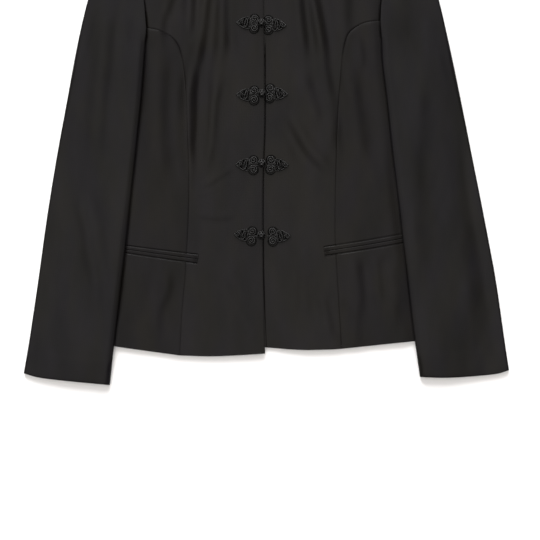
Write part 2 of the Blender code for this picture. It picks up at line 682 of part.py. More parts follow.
def coil(y):
    """A flat coil of cord, which swells between its middle and its rim."""
    mesh = bpy.data.meshes.new("coil")
    edges = [(i, i + 1) for i in range(len(COIL_PROFILE) - 1)]
    mesh.from_pydata([(r * MM, 0, z * MM) for r, z in COIL_PROFILE], edges, [])
    maker = bpy.data.objects.new("coil", mesh)
    turn = maker.modifiers.new("turn", "SCREW")
    turn.steps = turn.render_steps = 9
    turn.use_merge_vertices = True
    turn.merge_threshold = 0.00001
    shape = meshed(maker)
    for vertex in shape.data.vertices:
        vertex.co.y += y * MM
    return shape


def united(shapes):
    """The shapes joined into one body."""
    first, *others = shapes
    for other in others:
        bpy.context.scene.collection.objects.link(other)
        join = first.modifiers.new("join", "BOOLEAN")
        join.operation = "UNION"
        join.object = other
    result = meshed(first)
    for other in others:
        bpy.data.objects.remove(other)
    return result


def half_frog(neck_end, ring_centre=None):
    """Half a frog: its pair of coils at the origin, a leaf of cord towards +x and a neck of cord to the ball knot."""
    radius = FROG_CORD / 2
    one_edge = smooth_line(LEAF, 2)
    leaf = [(x, y, radius + 0.14) for x, y in [*one_edge, *(one_edge[-2:0:-1] * (1, -1))]]
    shapes = [
        coil(COIL_SPREAD),
        coil(-COIL_SPREAD),
        cord(leaf, FROG_CORD, closed=True),
        cord_ring(9.1, 0.05, radius + 0.28, 5.0, 7, FROG_CORD * 0.8),
        cord([(3.4, 0.3, radius + 0.47), (neck_end, 0.3, radius + 0.47)], FROG_CORD * 1.2),
    ]
    if ring_centre:
        shapes.append(cord_ring(*ring_centre, radius + 0.55, RING_RADIUS, 9, FROG_CORD * 0.9))
    return united(shapes)


def lay_frog(shape, side, x, y, turn, name, height):
    """The half frog turned, moved and laid over the fronts, so that it follows their surface."""
    mesh = shape.data
    out, up, lift = np.array([vertex.co for vertex in mesh.vertices]).T / MM
    at_x = x + side * (out * math.cos(turn) - up * math.sin(turn))
    at_y = y + out * math.sin(turn) + up * math.cos(turn)
    at_z = lift + ON_PANEL + height(at_x, at_y)
    for vertex, point in zip(mesh.vertices, np.stack([at_x, at_y, at_z], axis=1) * MM):
        vertex.co = point
    if side < 0:
        mesh.flip_normals()
    bpy.data.objects.remove(shape)
    place(name, mesh, BLACK_CORD, 0.6)


def under_loop(x, y):
    """Past the centre front the loop stays level with the edge of the right front."""
    return front_height(np.minimum(x, -1.0), y, -1)


def under_knot(x, y):
    return front_height(x, y, 1) + 0.2


def make_frogs():
    centre_line = smooth_line(CENTRE_FRONT)
    for number, row in enumerate(FROG_ROWS, 1):
        y, ball_x, ball_rise, loop_x, loop_rise, loop_turn, knot_x, knot_rise, knot_turn = row
        middle = np.interp(y, centre_line[:, 1], centre_line[:, 0])
        loop_turn, knot_turn = math.radians(loop_turn), math.radians(knot_turn)
        reach, rise = ball_x - loop_x, ball_rise - loop_rise
        ring_x = rise * math.sin(loop_turn) - reach * math.cos(loop_turn)
        ring_y = rise * math.cos(loop_turn) + reach * math.sin(loop_turn)
        loop = half_frog(RING_RADIUS - 0.8 - reach, ring_centre=(ring_x, ring_y))
        lay_frog(loop, -1, middle + loop_x, y + loop_rise, loop_turn, f"frog_{number}_loop_half", under_loop)
        knot = half_frog(ball_x - knot_x + 8.0)
        lay_frog(knot, 1, middle + knot_x, y + knot_rise, knot_turn, f"frog_{number}_knot_half", under_knot)
        ball = bmesh.new()
        bmesh.ops.create_uvsphere(ball, u_segments=10, v_segments=6, radius=BALL_RADIUS * MM)
        mesh = bpy.data.meshes.new("ball")
        ball.to_mesh(mesh)
        ball.free()
        mesh.shade_smooth()
        ball_knot = place(f"frog_{number}_ball_knot", mesh, BLACK_CORD, 0.6)
        seat = FRONT_TOP + LAP_RISE + ON_PANEL + BALL_RADIUS + 0.35
        ball_knot.location = np.array([middle + ball_x, y + ball_rise, seat]) * MM


# ---- the whole jacket ----
def centre_box():
    """Everything hangs from one empty, moved so that the jacket's box is centred over the origin."""
    graph = bpy.context.evaluated_depsgraph_get()
    corners = []
    for piece in jacket.objects:
        corners += [piece.matrix_world @ vertex.co for vertex in piece.evaluated_get(graph).data.vertices]
    corners = np.array(corners)
    middle = (corners.min(axis=0) + corners.max(axis=0)) / 2
    lie = bpy.data.objects.new("lie_of_the_jacket", None)
    bpy.context.scene.collection.objects.link(lie)
    lie.location = (-middle[0], -middle[1], 0.0)
    for piece in jacket.objects:
        piece.parent = lie
    bpy.context.view_layer.update()


make_back()
for side in SIDES:
    make_front(side)
    make_side_front(side)
    make_upper_sleeve(side)
    make_under_sleeve(side)
    make_welts(side)
make_collar()
make_frogs()
bpy.context.view_layer.update()
centre_box()
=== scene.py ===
import math

import bmesh
import bpy
import numpy as np
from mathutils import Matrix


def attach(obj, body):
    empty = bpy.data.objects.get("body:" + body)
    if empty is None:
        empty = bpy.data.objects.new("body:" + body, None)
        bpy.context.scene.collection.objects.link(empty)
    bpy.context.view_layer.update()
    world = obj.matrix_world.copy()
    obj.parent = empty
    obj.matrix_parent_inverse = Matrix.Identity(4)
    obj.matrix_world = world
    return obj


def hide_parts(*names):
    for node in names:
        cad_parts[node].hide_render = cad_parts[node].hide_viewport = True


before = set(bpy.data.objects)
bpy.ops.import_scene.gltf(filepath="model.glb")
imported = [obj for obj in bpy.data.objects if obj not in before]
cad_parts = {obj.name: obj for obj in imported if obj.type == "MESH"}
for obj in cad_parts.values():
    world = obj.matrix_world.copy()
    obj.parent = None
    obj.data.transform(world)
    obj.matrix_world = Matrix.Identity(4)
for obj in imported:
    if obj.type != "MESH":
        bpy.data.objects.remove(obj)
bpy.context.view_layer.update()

# ---- The back ----
# One panel of fine black wool suiting, from hem to shoulders, laid face down on the surface. At the sides
# and along the shoulders it turns up by half the thickness of the jacket and is seamed to the fronts.

# Sizes are in millimetres: x runs from the centre front to the wearer's left, y up from the hem, and z up
# from the surface.
MM = 0.001
HEM_TO_MIDDLE = np.array([-3.25, -304.735, 0.0])  # the hem's centre front, from the middle of the jacket
CLOTH = 1.5  # wall of each panel: suiting with its seam allowances
SEAM_GAP = 0.3  # between two pieces that are sewn together
FOLD_GAP = 0.75  # the same at a folded edge
BODY_THICK = 6.0  # front on back
BODY_FOLD = (BODY_THICK - FOLD_GAP) / 2  # the radius of a folded edge of the body
SIDES = (-1, 1)
NAMES = {-1: "right", 1: "left"}
NECK_SIDE = (76, 625)
SHOULDER_TIP = (185, 586.5)
SIDE_FOLD = [(-243, 18), (-226, 80), (-212, 145), (-200, 250), (-212, 320), (-223.6, 381)]
BACK_HEM = [(-243, 18), (-200, 14.5), (-100, 9.5), (0, 10), (100, 10.5), (200, 16.5), (243, 18)]
BACK_NECKLINE = [(-76, 625), (-52, 612), (0, 607), (52, 612), (76, 625)]
BACK_ARMHOLE = [(223.6, 381), (206, 399), (191, 450), (184, 520), (185, 586.5)]
# Soft hollows in the back where it doesn't quite rest on the surface. A row is a line of points, x and y,
# and then the half width of the fold and its height.
BACK_FOLDS = [
    ([(-150, 210), (-120, 270), (-112, 350)], 14, 0.9),
    ([(150, 215), (122, 275), (116, 345)], 14, 0.9),
    ([(-60, 250), (-20, 262), (40, 250)], 11, 0.6),
    ([(-90, 470), (-105, 520), (-140, 560)], 13, 0.7),
    ([(90, 470), (105, 520), (140, 560)], 13, 0.7),
    ([(-80, 40), (-84, 90), (-80, 140)], 12, 0.7),
    ([(80, 40), (84, 90), (80, 140)], 12, 0.7),
]


def smooth_line(points, per_span=14):
    """A smooth line through the points (Catmull-Rom)."""
    p = np.array(points, float)
    p = np.vstack([2 * p[0] - p[1], p, 2 * p[-1] - p[-2]])
    t = np.linspace(0, 1, per_span, endpoint=False)[:, None]
    parts = []
    for a, b, c, d in zip(p, p[1:], p[2:], p[3:]):
        bend = (2 * a - 5 * b + 4 * c - d) * t**2
        twist = (3 * b - a - 3 * c + d) * t**3
        parts.append(0.5 * (2 * b + (c - a) * t + bend + twist))
    return np.vstack([*parts, p[-2:-1]])


def joined(*lines):
    return np.vstack([lines[0]] + [line[1:] for line in lines[1:]])


def along(line, share):
    """The points at these shares of a line's length."""
    step = np.linalg.norm(np.diff(line, axis=0), axis=1)
    reach = np.concatenate([[0], np.cumsum(step)]) / step.sum()
    return np.stack([np.interp(share, reach, line[:, k]) for k in range(line.shape[1])], axis=-1)


def kinked(lines, kinks, share):
    """Points along lines that follow each other. Each after the first starts at the share in kinks."""
    bounds = [0.0, *kinks, 1.0]
    out = np.zeros((len(share), 2))
    for line, low, high in zip(lines, bounds, bounds[1:]):
        inside = (share >= low - 1e-9) & (share <= high + 1e-9)
        out[inside] = along(line, np.clip((share[inside] - low) / (high - low), 0, 1))
    return out


def nearest(x, y, line):
    """Distance from each place to a line, the side of it that the place is on, and how far along it."""
    p = np.stack([np.ravel(x), np.ravel(y)], axis=1)
    best = np.full(len(p), 1e9)
    side = np.zeros(len(p))
    reach = np.zeros(len(p))
    for number, (a, b) in enumerate(zip(line, line[1:])):
        run = b - a
        t = np.clip((p - a) @ run / (run @ run), 0, 1)
        away = p - (a + t[:, None] * run)
        distance = np.linalg.norm(away, axis=1)
        closer = distance < best - 1e-9
        best = np.where(closer, distance, best)
        side = np.where(closer, run[0] * away[:, 1] - run[1] * away[:, 0], side)
        reach = np.where(closer, (number + t) / (len(line) - 1), reach)
    shape = np.shape(x)
    return best.reshape(shape), side.reshape(shape), reach.reshape(shape)


def soft_step(value):
    t = np.clip(value, 0, 1)
    return t * t * (3 - 2 * t)


def fold_drop(edge_distance, radius):
    """How far cloth turns down towards a folded edge, as a quarter circle."""
    left = np.clip(radius - edge_distance, 0, radius)
    return radius - np.sqrt(radius**2 - left**2)


def folds_height(x, y, folds):
    """The rise or fall of the cloth over a table of soft folds, which die away at both ends."""
    height = np.zeros(np.shape(x))
    for points, half_width, rise in folds:
        distance, _, reach = nearest(x, y, smooth_line(points, 8))
        fade = np.sin(math.pi * np.clip(reach, 0.02, 0.98)) ** 0.6
        height += rise * np.exp(-((distance / half_width) ** 2)) * fade
    return height


def creases_drop(x, y, creases):
    """How far cloth lies above or below its level over a table of creases. They die away at both ends."""
    height = np.zeros(np.shape(x))
    for points, width, drop in creases:
        distance, side, reach = nearest(x, y, smooth_line(points, 8))
        across = np.sign(side) * distance / width
        height -= drop * across * np.exp(-(across**2)) * soft_step(3.5 * np.minimum(reach, 1 - reach))
    return height


def patch(bottom, top, left, right, u, v):
    """Places in plan between four lines that meet at the corners: rows at shares v, columns at shares u.

    The curve of the top line soon dies away below it."""
    bottom[[0, -1]] = left[0], right[0]
    top[[0, -1]] = left[-1], right[-1]
    u = u[None, :, None]
    topness = v[:, None, None] ** 3
    upwards = (1 - u) * left[:, None] + u * right[:, None]
    bottom_curve = bottom[None] - (1 - u) * bottom[0] - u * bottom[-1]
    top_curve = top[None] - (1 - u) * top[0] - u * top[-1]
    return upwards + (1 - topness) * bottom_curve + topness * top_curve


def shares(count, width, start=True, end=True):
    """Even shares, closer together where the cloth folds over at an edge."""
    bend = np.array([1.35, 0.8, 0.45, 0.2, 0.06, 0.0]) * BODY_FOLD / width
    inner = np.linspace(0, 1, count)
    head = bend[::-1] if start else bend[:0]
    tail = 1 - bend if end else bend[:0]
    low = bend[0] + 0.3 / count if start else -1.0
    high = 1 - bend[0] - 0.3 / count if end else 2.0
    return np.concatenate([head, inner[(inner > low) & (inner < high)], tail])


def lifted(plan, height):
    return np.concatenate([plan, height(plan[..., 0], plan[..., 1])[..., None]], axis=-1)


def fed(node, inputs):
    """The node, with each of these inputs given a value or joined to another node's output."""
    for name, value in inputs.items():
        if isinstance(value, bpy.types.NodeSocket):
            node.id_data.links.new(value, node.inputs[name])
        else:
            node.inputs[name].default_value = value
    return node


def new_material(name, roughness, gloss):
    """A material, its nodes and its shader."""
    material = bpy.data.materials.new(name)
    material.use_nodes = True
    nodes = material.node_tree.nodes
    shader = fed(nodes["Principled BSDF"], {"Roughness": roughness, "Specular IOR Level": gloss})
    return material, nodes, shader


def colours(nodes, level, stops, passing="LINEAR"):
    """The colour for a level. The stops are levels with their colours, and passing is how one turns
    into the next."""
    ramp = fed(nodes.new("ShaderNodeValToRGB"), {"Fac": level})
    ramp.color_ramp.interpolation = passing
    while len(ramp.color_ramp.elements) < len(stops):
        ramp.color_ramp.elements.new(0.5)
    for element, (position, colour) in zip(ramp.color_ramp.elements, stops):
        element.position = position
        element.color = (*colour, 1)
    return ramp.outputs["Color"]


def sum_of(nodes, level, factor, added):
    """The level times the factor, and what is added to it."""
    total = nodes.new("ShaderNodeMath")
    total.operation = "MULTIPLY_ADD"
    return fed(total, {0: level, 1: factor, 2: added}).outputs["Value"]


def suiting(name, warp_turn, tint, gloss):
    """Black wool suiting: a fine plain weave of slightly uneven yarn, with a hue dyed a little unevenly.

    Its tone is painted light and shade: soft streaks for small wrinkles, darker where the weave lies low.
    """
    material, nodes, shader = new_material(name, 0.4, gloss)
    place = nodes.new("ShaderNodeTexCoord").outputs["Object"]
    along_warp = fed(nodes.new("ShaderNodeMapping"), {"Vector": place, "Rotation": (0, 0, warp_turn)})
    turned = along_warp.outputs["Vector"]
    # A wave stands for five yarns. At a scale of 1 it is 0.314 m long.
    yarns = []
    for direction, pitch in (("X", 0.62), ("Y", 0.7)):
        yarn = nodes.new("ShaderNodeTexWave")
        yarn.wave_type = "BANDS"
        yarn.bands_direction = direction
        scale = 0.314 / (5 * pitch * MM)
        fed(yarn, {"Vector": turned, "Scale": scale, "Distortion": 0.6, "Detail": 1.0})
        yarns.append(yarn.outputs["Color"])
    weave = nodes.new("ShaderNodeMath")
    weave.operation = "MULTIPLY"
    fed(weave, {0: yarns[0], 1: yarns[1]})
    slub = fed(nodes.new("ShaderNodeTexNoise"), {"Vector": turned, "Scale": 900.0, "Detail": 3.0})
    height = sum_of(nodes, slub.outputs["Fac"], 0.8, weave.outputs["Value"])
    relief = {"Height": height, "Strength": 0.35, "Distance": 0.08 * MM}
    bump = fed(nodes.new("ShaderNodeBump"), relief)
    # Long soft streaks of painted light and shade, which stand for the shading of small wrinkles.
    drawn_out = fed(nodes.new("ShaderNodeMapping"), {"Vector": place, "Scale": (24.0, 9.0, 24.0)})
    patchy = drawn_out.outputs["Vector"]
    clouds = {"Vector": patchy, "Scale": 1.0, "Detail": 5.0, "Roughness": 0.55}
    wrinkle_shade_streaks = fed(nodes.new("ShaderNodeTexNoise"), clouds)
    # Painted shade: the tone is darker where the weave and the slubs lie low, and it follows the streaks.
    mixed = sum_of(nodes, height, 0.15, wrinkle_shade_streaks.outputs["Fac"])
    dark, light = [0.62 * c for c in tint], [1.45 * c for c in tint]
    painted_shades = colours(nodes, mixed, [(0.42, dark), (0.78, light)])
    dye = fed(nodes.new("ShaderNodeTexNoise"), {"Vector": patchy, "Scale": 1.3, "Detail": 2.0})
    casts = colours(nodes, dye.outputs["Fac"], [(0.38, (0.9, 0.78, 0.95)), (0.62, (0.98, 0.86, 0.7))])
    dyed = nodes.new("ShaderNodeMix")
    dyed.data_type = "RGBA"
    dyed.blend_type = "MULTIPLY"
    fed(dyed, {"Factor": 1.0, "A": painted_shades, "B": casts})
    fed(shader, {"Base Color": dyed.outputs["Result"], "Normal": bump.outputs["Normal"]})
    return material


def applied(piece):
    """The piece with its modifiers worked into its mesh."""
    graph = bpy.context.evaluated_depsgraph_get()
    mesh = bpy.data.meshes.new_from_object(piece.evaluated_get(graph))
    piece.modifiers.clear()
    piece.data = mesh
    return piece


def sewn_cloth(name, sheets, wall, material, face_up=True, rim=0.4):
    """A panel of cloth with rounded rims, from its outer face: sheets of points that share edges."""
    points, quads, start = [], [], 0
    for sheet in sheets:
        rows, columns = sheet.shape[:2]
        index = start + np.arange(rows * columns).reshape(rows, columns)
        corners = [index[:-1, :-1], index[:-1, 1:], index[1:, 1:], index[1:, :-1]]
        quads.append(np.stack(corners, axis=-1).reshape(-1, 4))
        points.append(sheet.reshape(-1, 3))
        start += rows * columns
    mesh = bpy.data.meshes.new(name)
    mesh.from_pydata(((np.vstack(points) + HEM_TO_MIDDLE) * MM).tolist(), [], np.vstack(quads).tolist())
    shape = bmesh.new()
    shape.from_mesh(mesh)
    bmesh.ops.remove_doubles(shape, verts=shape.verts, dist=2e-6)
    bmesh.ops.recalc_face_normals(shape, faces=shape.faces)
    if (sum(face.normal.z * face.calc_area() for face in shape.faces) > 0) != face_up:
        bmesh.ops.reverse_faces(shape, faces=shape.faces)
    shape.to_mesh(mesh)
    shape.free()
    mesh.materials.append(material)
    piece = bpy.data.objects.new(name, mesh)
    bpy.context.scene.collection.objects.link(piece)
    solidify = piece.modifiers.new("wall", "SOLIDIFY")
    solidify.thickness = wall * MM
    solidify.offset = -1.0
    bevel = piece.modifiers.new("rolled edge", "BEVEL")
    bevel.width = rim * MM
    bevel.segments = 2
    bevel.limit_method = "ANGLE"
    bevel.angle_limit = math.radians(55)
    applied(piece)
    piece.data.shade_smooth()
    return piece


SIDE_LINES = {side: smooth_line(np.array(SIDE_FOLD) * (-side, 1)) for side in SIDES}
SHOULDERS = {side: np.array([SHOULDER_TIP, NECK_SIDE]) * (side, 1) for side in SIDES}
BACK_ARMHOLES = {side: smooth_line(np.array(BACK_ARMHOLE) * (side, 1)) for side in SIDES}


def back_height(x, y):
    """The outer face of the back, which is underneath."""
    folded = [SIDE_LINES[-1], SIDE_LINES[1], SHOULDERS[-1], SHOULDERS[1]]
    edge = np.min([nearest(x, y, line)[0] for line in folded], axis=0)
    return fold_drop(edge, BODY_FOLD) + folds_height(x, y, BACK_FOLDS) * soft_step((edge - 8.0) / 20.0)


BODY_BLACK = (0.0042, 0.0040, 0.0038)
body_suiting = suiting("black_body_suiting", 0.0, BODY_BLACK, 0.12)
shoulder_share = 0.31
underarm_share = 0.62
u = shares(90, 430.0)
v = shares(120, 600.0, start=False)
top_lines = [SHOULDERS[-1], smooth_line(BACK_NECKLINE), SHOULDERS[1][::-1]]
back_plan = patch(
    along(smooth_line(BACK_HEM), u),
    kinked(top_lines, [shoulder_share, 1 - shoulder_share], u),
    kinked([SIDE_LINES[-1], BACK_ARMHOLES[-1]], [underarm_share], v),
    kinked([SIDE_LINES[1], BACK_ARMHOLES[1]], [underarm_share], v),
    u,
    v,
)
back = sewn_cloth("back_panel", [lifted(back_plan, back_height)], CLOTH, body_suiting, face_up=False)
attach(back, "root")
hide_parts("back")

# ---- The two fronts ----
# Each front is cut in one from the hem to the shoulder and the neck, and shaped by the seam that joins it
# to its side front. The right front laps over the left at the centre, and its edge is pressed sharp.
FRONT_TOP = 6.0  # the outer face
LAP_STEP = 1.7  # how far the left front sinks to pass under the right front
LAP_RISE = 0.5  # and how far the right front rises
LAP_TRENCH = 1.0  # how much deeper the left front lies right beside the edge of the right front
UNDERLAP = 12.0  # how far the left front goes on under it
FRONT_SINK = 2.6  # the most that the creases together sink
LOWEST_FRONT = 3.08  # where the outer face stays clear of the back
SEAM_DIP = 0.2  # at a seam
SEAM_SWELL = 0.05  # beside it, over the seam allowances
CURVE_DIP = 2.4  # how much deeper the curve of the shaped seam is drawn in
STITCH_DIP = 1.1  # along the stitches of a welt
SLIT_DIP = 1.0  # along the slit of a pocket
SLEEVE_PRESS = {-1: (5.0, 1.5), 1: (16.0, 3.2)}  # how wide and how deep a sleeve presses beside it
CALM_STRIP = {-1: 12.0, 1: 30.0}  # how far from the sleeve the creases reach their depth
FRONT_RIM = 0.28  # how far its rims are rounded
SEAM_OPENING = 0.06  # half the opening of a shaped seam
CENTRE_FRONT = [
    (1.5, -0.8), (-1, 70), (-2.3, 145), (-2.2, 240), (0, 310),
    (0.2, 385), (-0.7, 470), (-0.6, 562),
]
RIGHT_FRONT_HEM = [(1.5, -0.8), (-33, -3), (-74.5, -4.6), (-115.9, -3.4)]
LEFT_FRONT_HEM = [(-UNDERLAP, 8), (2.8, 7.6), (50, 4.2), (91, 4.8), (107.5, 5.8)]
RIGHT_NECKLINE = [(-0.6, 562), (-31, 567), (-59, 589), (-76, 625)]
LEFT_NECKLINE = [(-UNDERLAP, 562.6), (0.6, 562), (31, 567), (59, 589), (76, 625)]
RIGHT_SHAPED_SEAM = [
    (-115.9, -3.4), (-113.2, 59.3), (-107.6, 124.2), (-103.5, 211), (-104.9, 303.6),
    (-109.7, 381), (-116, 418), (-127.5, 435.5), (-144, 444.8), (-162.2, 448.5),
]
LEFT_SHAPED_SEAM = [
    (107.5, 5.8), (104.9, 49.7), (100.3, 118.7), (98, 190), (102, 325),
    (106.3, 394.7), (111.8, 427.8), (119.5, 443.5), (137, 455), (160.4, 458.9),
]
RIGHT_ARMHOLE = [(-185, 586.5), (-172.5, 540), (-165.6, 487), (-162.2, 448.5)]
LEFT_ARMHOLE = [(185, 586.5), (171, 540), (162.2, 487), (160.4, 458.9)]
# Where the inner fold of each sleeve lies on the body, from the armhole to the cuff.
RIGHT_INNER_FOLD = [
    (-163.4, 430), (-165.6, 400), (-169.7, 349.1), (-178.2, 266.3), (-187, 183.5),
    (-196.2, 100.7), (-205, 24.8), (-212.8, -44.2),
]
LEFT_INNER_FOLD = [
    (161.5, 436), (163, 400), (169.1, 349.1), (178.2, 266.3), (187.9, 183.5),
    (197.6, 100.7), (206.8, 24.8), (215.3, -33.1),
]
# The pockets, whose welts lie on the fronts across the shaped seams.
RIGHT_POCKET = [(-91, 129.5), (-145, 136.5), (-202, 144.5)]
LEFT_POCKET = [(83, 140), (142, 149), (196, 158.5)]
WELT_WIDTH = 5.2
WELT_NARROWS = {-1: 0.22, 1: 0.0}  # by what share it narrows towards the side seam
# Soft creases of the fronts, where the cloth steps down across a line and comes back slowly on both sides
# of it. They fall from the neck and the armholes, meet at the waist and open out again in the skirt. A
# row is a line of points, x and y, and then the width of the step and its depth.
FRONT_CREASES = [
    # the right front and its side front, down to the waist
    ([(-62, 552), (-70.5, 515), (-80, 454), (-83, 429), (-87, 402), (-94, 345)], 12.5, 5.8),
    (
        [(-89.7, 398.8), (-95.2, 365.7), (-96.6, 338.1), (-98, 310.5), (-100.7, 282.9), (-102.1, 248)],
        19, 6.5,
    ),
    ([(-92, 550), (-95.5, 515), (-96.6, 476.1), (-98, 451.3), (-102.1, 420)], 10, 4.7),
    ([(-49, 552), (-53, 515), (-53.8, 476.1), (-52.4, 445.7), (-52.4, 420.9), (-56.2, 388)], 11, 3.9),
    (
        [
            (-53.8, 425), (-59.3, 371.2), (-63.5, 343.6), (-66.2, 313.3),
            (-69, 282.9), (-77.3, 255.3), (-91, 226),
        ],
        13, 4.8,
    ),
    ([(-116, 535), (-121, 505), (-129.7, 476.1), (-136.6, 459.5), (-138, 437.5), (-136.6, 410)], 11, 3.1),
    (
        [
            (-138, 450), (-135.2, 401.6), (-135.2, 362.9), (-135.2, 321.5),
            (-133.9, 282.9), (-132.5, 249.8), (-132.5, 200),
        ],
        21, 5.5,
    ),
    ([(-38, 254), (-50, 248), (-62, 240.5), (-76, 231), (-96, 226)], 6.5, 1.7),
    ([(-56, 229), (-70, 222), (-84, 217), (-100, 214)], 5, 0.6),
    ([(-36, 187), (-66, 184), (-98, 189)], 7, 1.3),
    ([(-102, 424), (-96, 384), (-94, 345), (-94, 300), (-97, 250), (-102, 195)], 13, 4.2),
    # its skirt
    ([(-127, 131), (-129.7, 86.9), (-142.1, 51.1), (-139.4, -6)], 14, 3.4),
    ([(-157.3, 131), (-162.8, 86.9), (-167, 35)], 20, 2.1),
    ([(-8, 22), (-24.8, 56.6), (-41.4, 84.2), (-64, 122)], 13, 1.5),
    # the left front and its side front, down to the waist
    ([(46, 550), (50.5, 515), (53.8, 476.1), (56.6, 451.3), (59.3, 426.4), (62.1, 388)], 11, 4.2),
    ([(58, 552), (66, 520), (76, 476), (82, 445), (87, 418), (94, 350)], 11.5, 5.5),
    ([(84.2, 424), (91.1, 376.7), (96.6, 346.4), (100.7, 316), (102, 290), (101, 262)], 15, 4.6),
    ([(116, 545), (117.5, 500.9), (117.3, 467.8), (120.1, 443), (122.8, 410)], 14, 2.4),
    ([(133, 446), (138, 418.1), (141.6, 386)], 9, 2.2),
    ([(127.3, 410), (129.7, 368.5), (133.9, 340.9), (139.4, 313.3), (146.3, 282.9), (158, 244)], 24, 5.1),
    ([(94, 236), (77.3, 255.3), (62.1, 271.9), (48.3, 291.2), (35.9, 316), (29, 346)], 12, 3.8),
    ([(58, 398), (67, 365), (74.5, 338), (83, 304)], 15, 4),
    # its skirt
    ([(41, 128), (48.3, 98), (46.9, 70.4), (45, 34)], 10, 1.3),
    ([(60.7, 120), (60.7, 84.2), (62.1, 36)], 10, 1.3),
    ([(82, 86), (89.7, 56.6), (97, 14)], 9, 1.4),
    ([(132, 142), (133, 112), (136, 84), (138, 42)], 14, 3.8),
    ([(180, 132), (186, 86), (190, 18)], 13, 3),
    ([(158, 142), (161, 105), (166, 60)], 12, 2.5),
    ([(120, 78), (117, 40), (116, 0)], 12, -2.4),
]


def half(side, right, left):
    return right if side < 0 else left


def beside(line, distance):
    """The line moved sideways, to its left when distance is positive."""
    way = np.gradient(line, axis=0)
    way /= np.linalg.norm(way, axis=1)[:, None]
    return line + distance * np.stack([-way[:, 1], way[:, 0]], axis=1)


CENTRE_LINE = smooth_line(CENTRE_FRONT)
ARMHOLES = {-1: smooth_line(RIGHT_ARMHOLE), 1: smooth_line(LEFT_ARMHOLE)}
SHAPED_SEAMS = {-1: smooth_line(RIGHT_SHAPED_SEAM), 1: smooth_line(LEFT_SHAPED_SEAM)}
NECKLINES = {-1: smooth_line(RIGHT_NECKLINE), 1: smooth_line(LEFT_NECKLINE)}
POCKETS = {-1: smooth_line(RIGHT_POCKET), 1: smooth_line(LEFT_POCKET)}
INNER_FOLDS = {-1: smooth_line(RIGHT_INNER_FOLD), 1: smooth_line(LEFT_INNER_FOLD)}
SLEEVE_EDGES = {side: np.vstack([ARMHOLES[side][:-4], INNER_FOLDS[side]]) for side in SIDES}


def seam_dip(distance):
    """Cloth sinks into a seam, and swells a little beside it over the seam allowances."""
    swell = SEAM_SWELL * np.exp(-(((distance - 6.0) / 4.0) ** 2))
    return SEAM_DIP * np.exp(-((distance / 1.4) ** 2)) - swell


def welt_width(side, reach):
    """How wide a welt is at a place along it. Those of the right pocket narrow."""
    return WELT_WIDTH * (1 - WELT_NARROWS[side] * reach)


def pocket_dip(x, y, side):
    """The front sinks to the line of stitches along each welt, and to the slit between the two."""
    distance, _, reach = nearest(x, y, POCKETS[side])
    inside = soft_step(np.minimum(reach, 1 - reach) / 0.015)
    stitches = STITCH_DIP * np.exp(-(((distance - welt_width(side, reach) - 0.9) / 0.9) ** 2))
    return (stitches + SLIT_DIP * np.exp(-((distance / 1.1) ** 2))) * inside


def unevenness(x, y, cell, seed):
    """Smooth random rises and falls, between -1 and 1, each as wide as the cell and twice as long."""
    lattice = np.random.default_rng(seed).uniform(-1, 1, (80, 80))
    column, row = (x + 500.0) / cell, (y + 200.0) / cell / 2
    left, low = np.floor(column).astype(int), np.floor(row).astype(int)
    across, up = soft_step(column - left), soft_step(row - low)
    below = lattice[low, left] * (1 - across) + lattice[low, left + 1] * across
    above = lattice[low + 1, left] * (1 - across) + lattice[low + 1, left + 1] * across
    return below * (1 - up) + above * up


def loose_cloth(x, y):
    """The unevenness of cloth that lies loosely."""
    broad = 0.85 * unevenness(x, y, 52.0, 3)
    return broad + 0.5 * unevenness(x + 0.3 * y, y, 27.0, 7) + 0.2 * unevenness(x, y, 13.0, 5)


def front_height(x, y, side, stitched=True):
    """The outer face of a front. The left front sinks past the centre, to pass under the right one.

    Both sink a little beside the inner folds of the sleeves, which press on them, and at their seams."""
    edge = np.minimum(nearest(x, y, SIDE_LINES[side])[0], nearest(x, y, SHOULDERS[side])[0])
    seams = [SHAPED_SEAMS[side], ARMHOLES[side], NECKLINES[side]]
    dip = np.max([seam_dip(nearest(x, y, seam)[0]) for seam in seams], axis=0) * stitched
    dip *= 1 + CURVE_DIP * soft_step((y - 400.0) / 30.0) * soft_step((500.0 - y) / 40.0)
    dip = dip + pocket_dip(x, y, side) * stitched
    distance, turn, _ = nearest(x, y, SLEEVE_EDGES[side])
    from_sleeve = np.where(turn * side < 0, distance, -distance)
    reach, depth = SLEEVE_PRESS[side]
    uncovered = soft_step((from_sleeve + 2.0) / CALM_STRIP[side])
    loose = (creases_drop(x, y, FRONT_CREASES) + loose_cloth(x, y)) * uncovered * soft_step(edge / 9.0)
    pressed = soft_step((edge - 5.0) / 18.0) * soft_step((540.0 - y) / 100.0)
    loose -= depth * np.clip((reach - from_sleeve) / reach, 0, 1) ** 2 * pressed
    loose = np.where(loose < 0, FRONT_SINK * np.tanh(loose / FRONT_SINK), loose)
    top = FRONT_TOP + loose - dip - fold_drop(edge, BODY_FOLD)
    if side < 0:
        return np.maximum(top + LAP_RISE * soft_step((x + 26.0) / 18.0), LOWEST_FRONT)
    past_edge = x - np.interp(y, *CENTRE_LINE.T[::-1])
    # The right front stands prouder of the left one towards the hem and above the waist.
    trench = LAP_TRENCH + 0.5 * soft_step((160.0 - y) / 120.0) + 0.6 * soft_step((y - 365.0) / 45.0)
    top -= LAP_STEP * soft_step((36.0 - x) / 36.0) + trench * np.exp(-(((past_edge - 0.5) / 1.4) ** 2))
    return np.maximum(top, LOWEST_FRONT)


def seam_opening(side):
    """Half the opening along a shaped seam. It closes where the hem is sewn over it."""
    return SEAM_OPENING * soft_step((SHAPED_SEAMS[side][:, 1:] - 8.0) / 12.0)


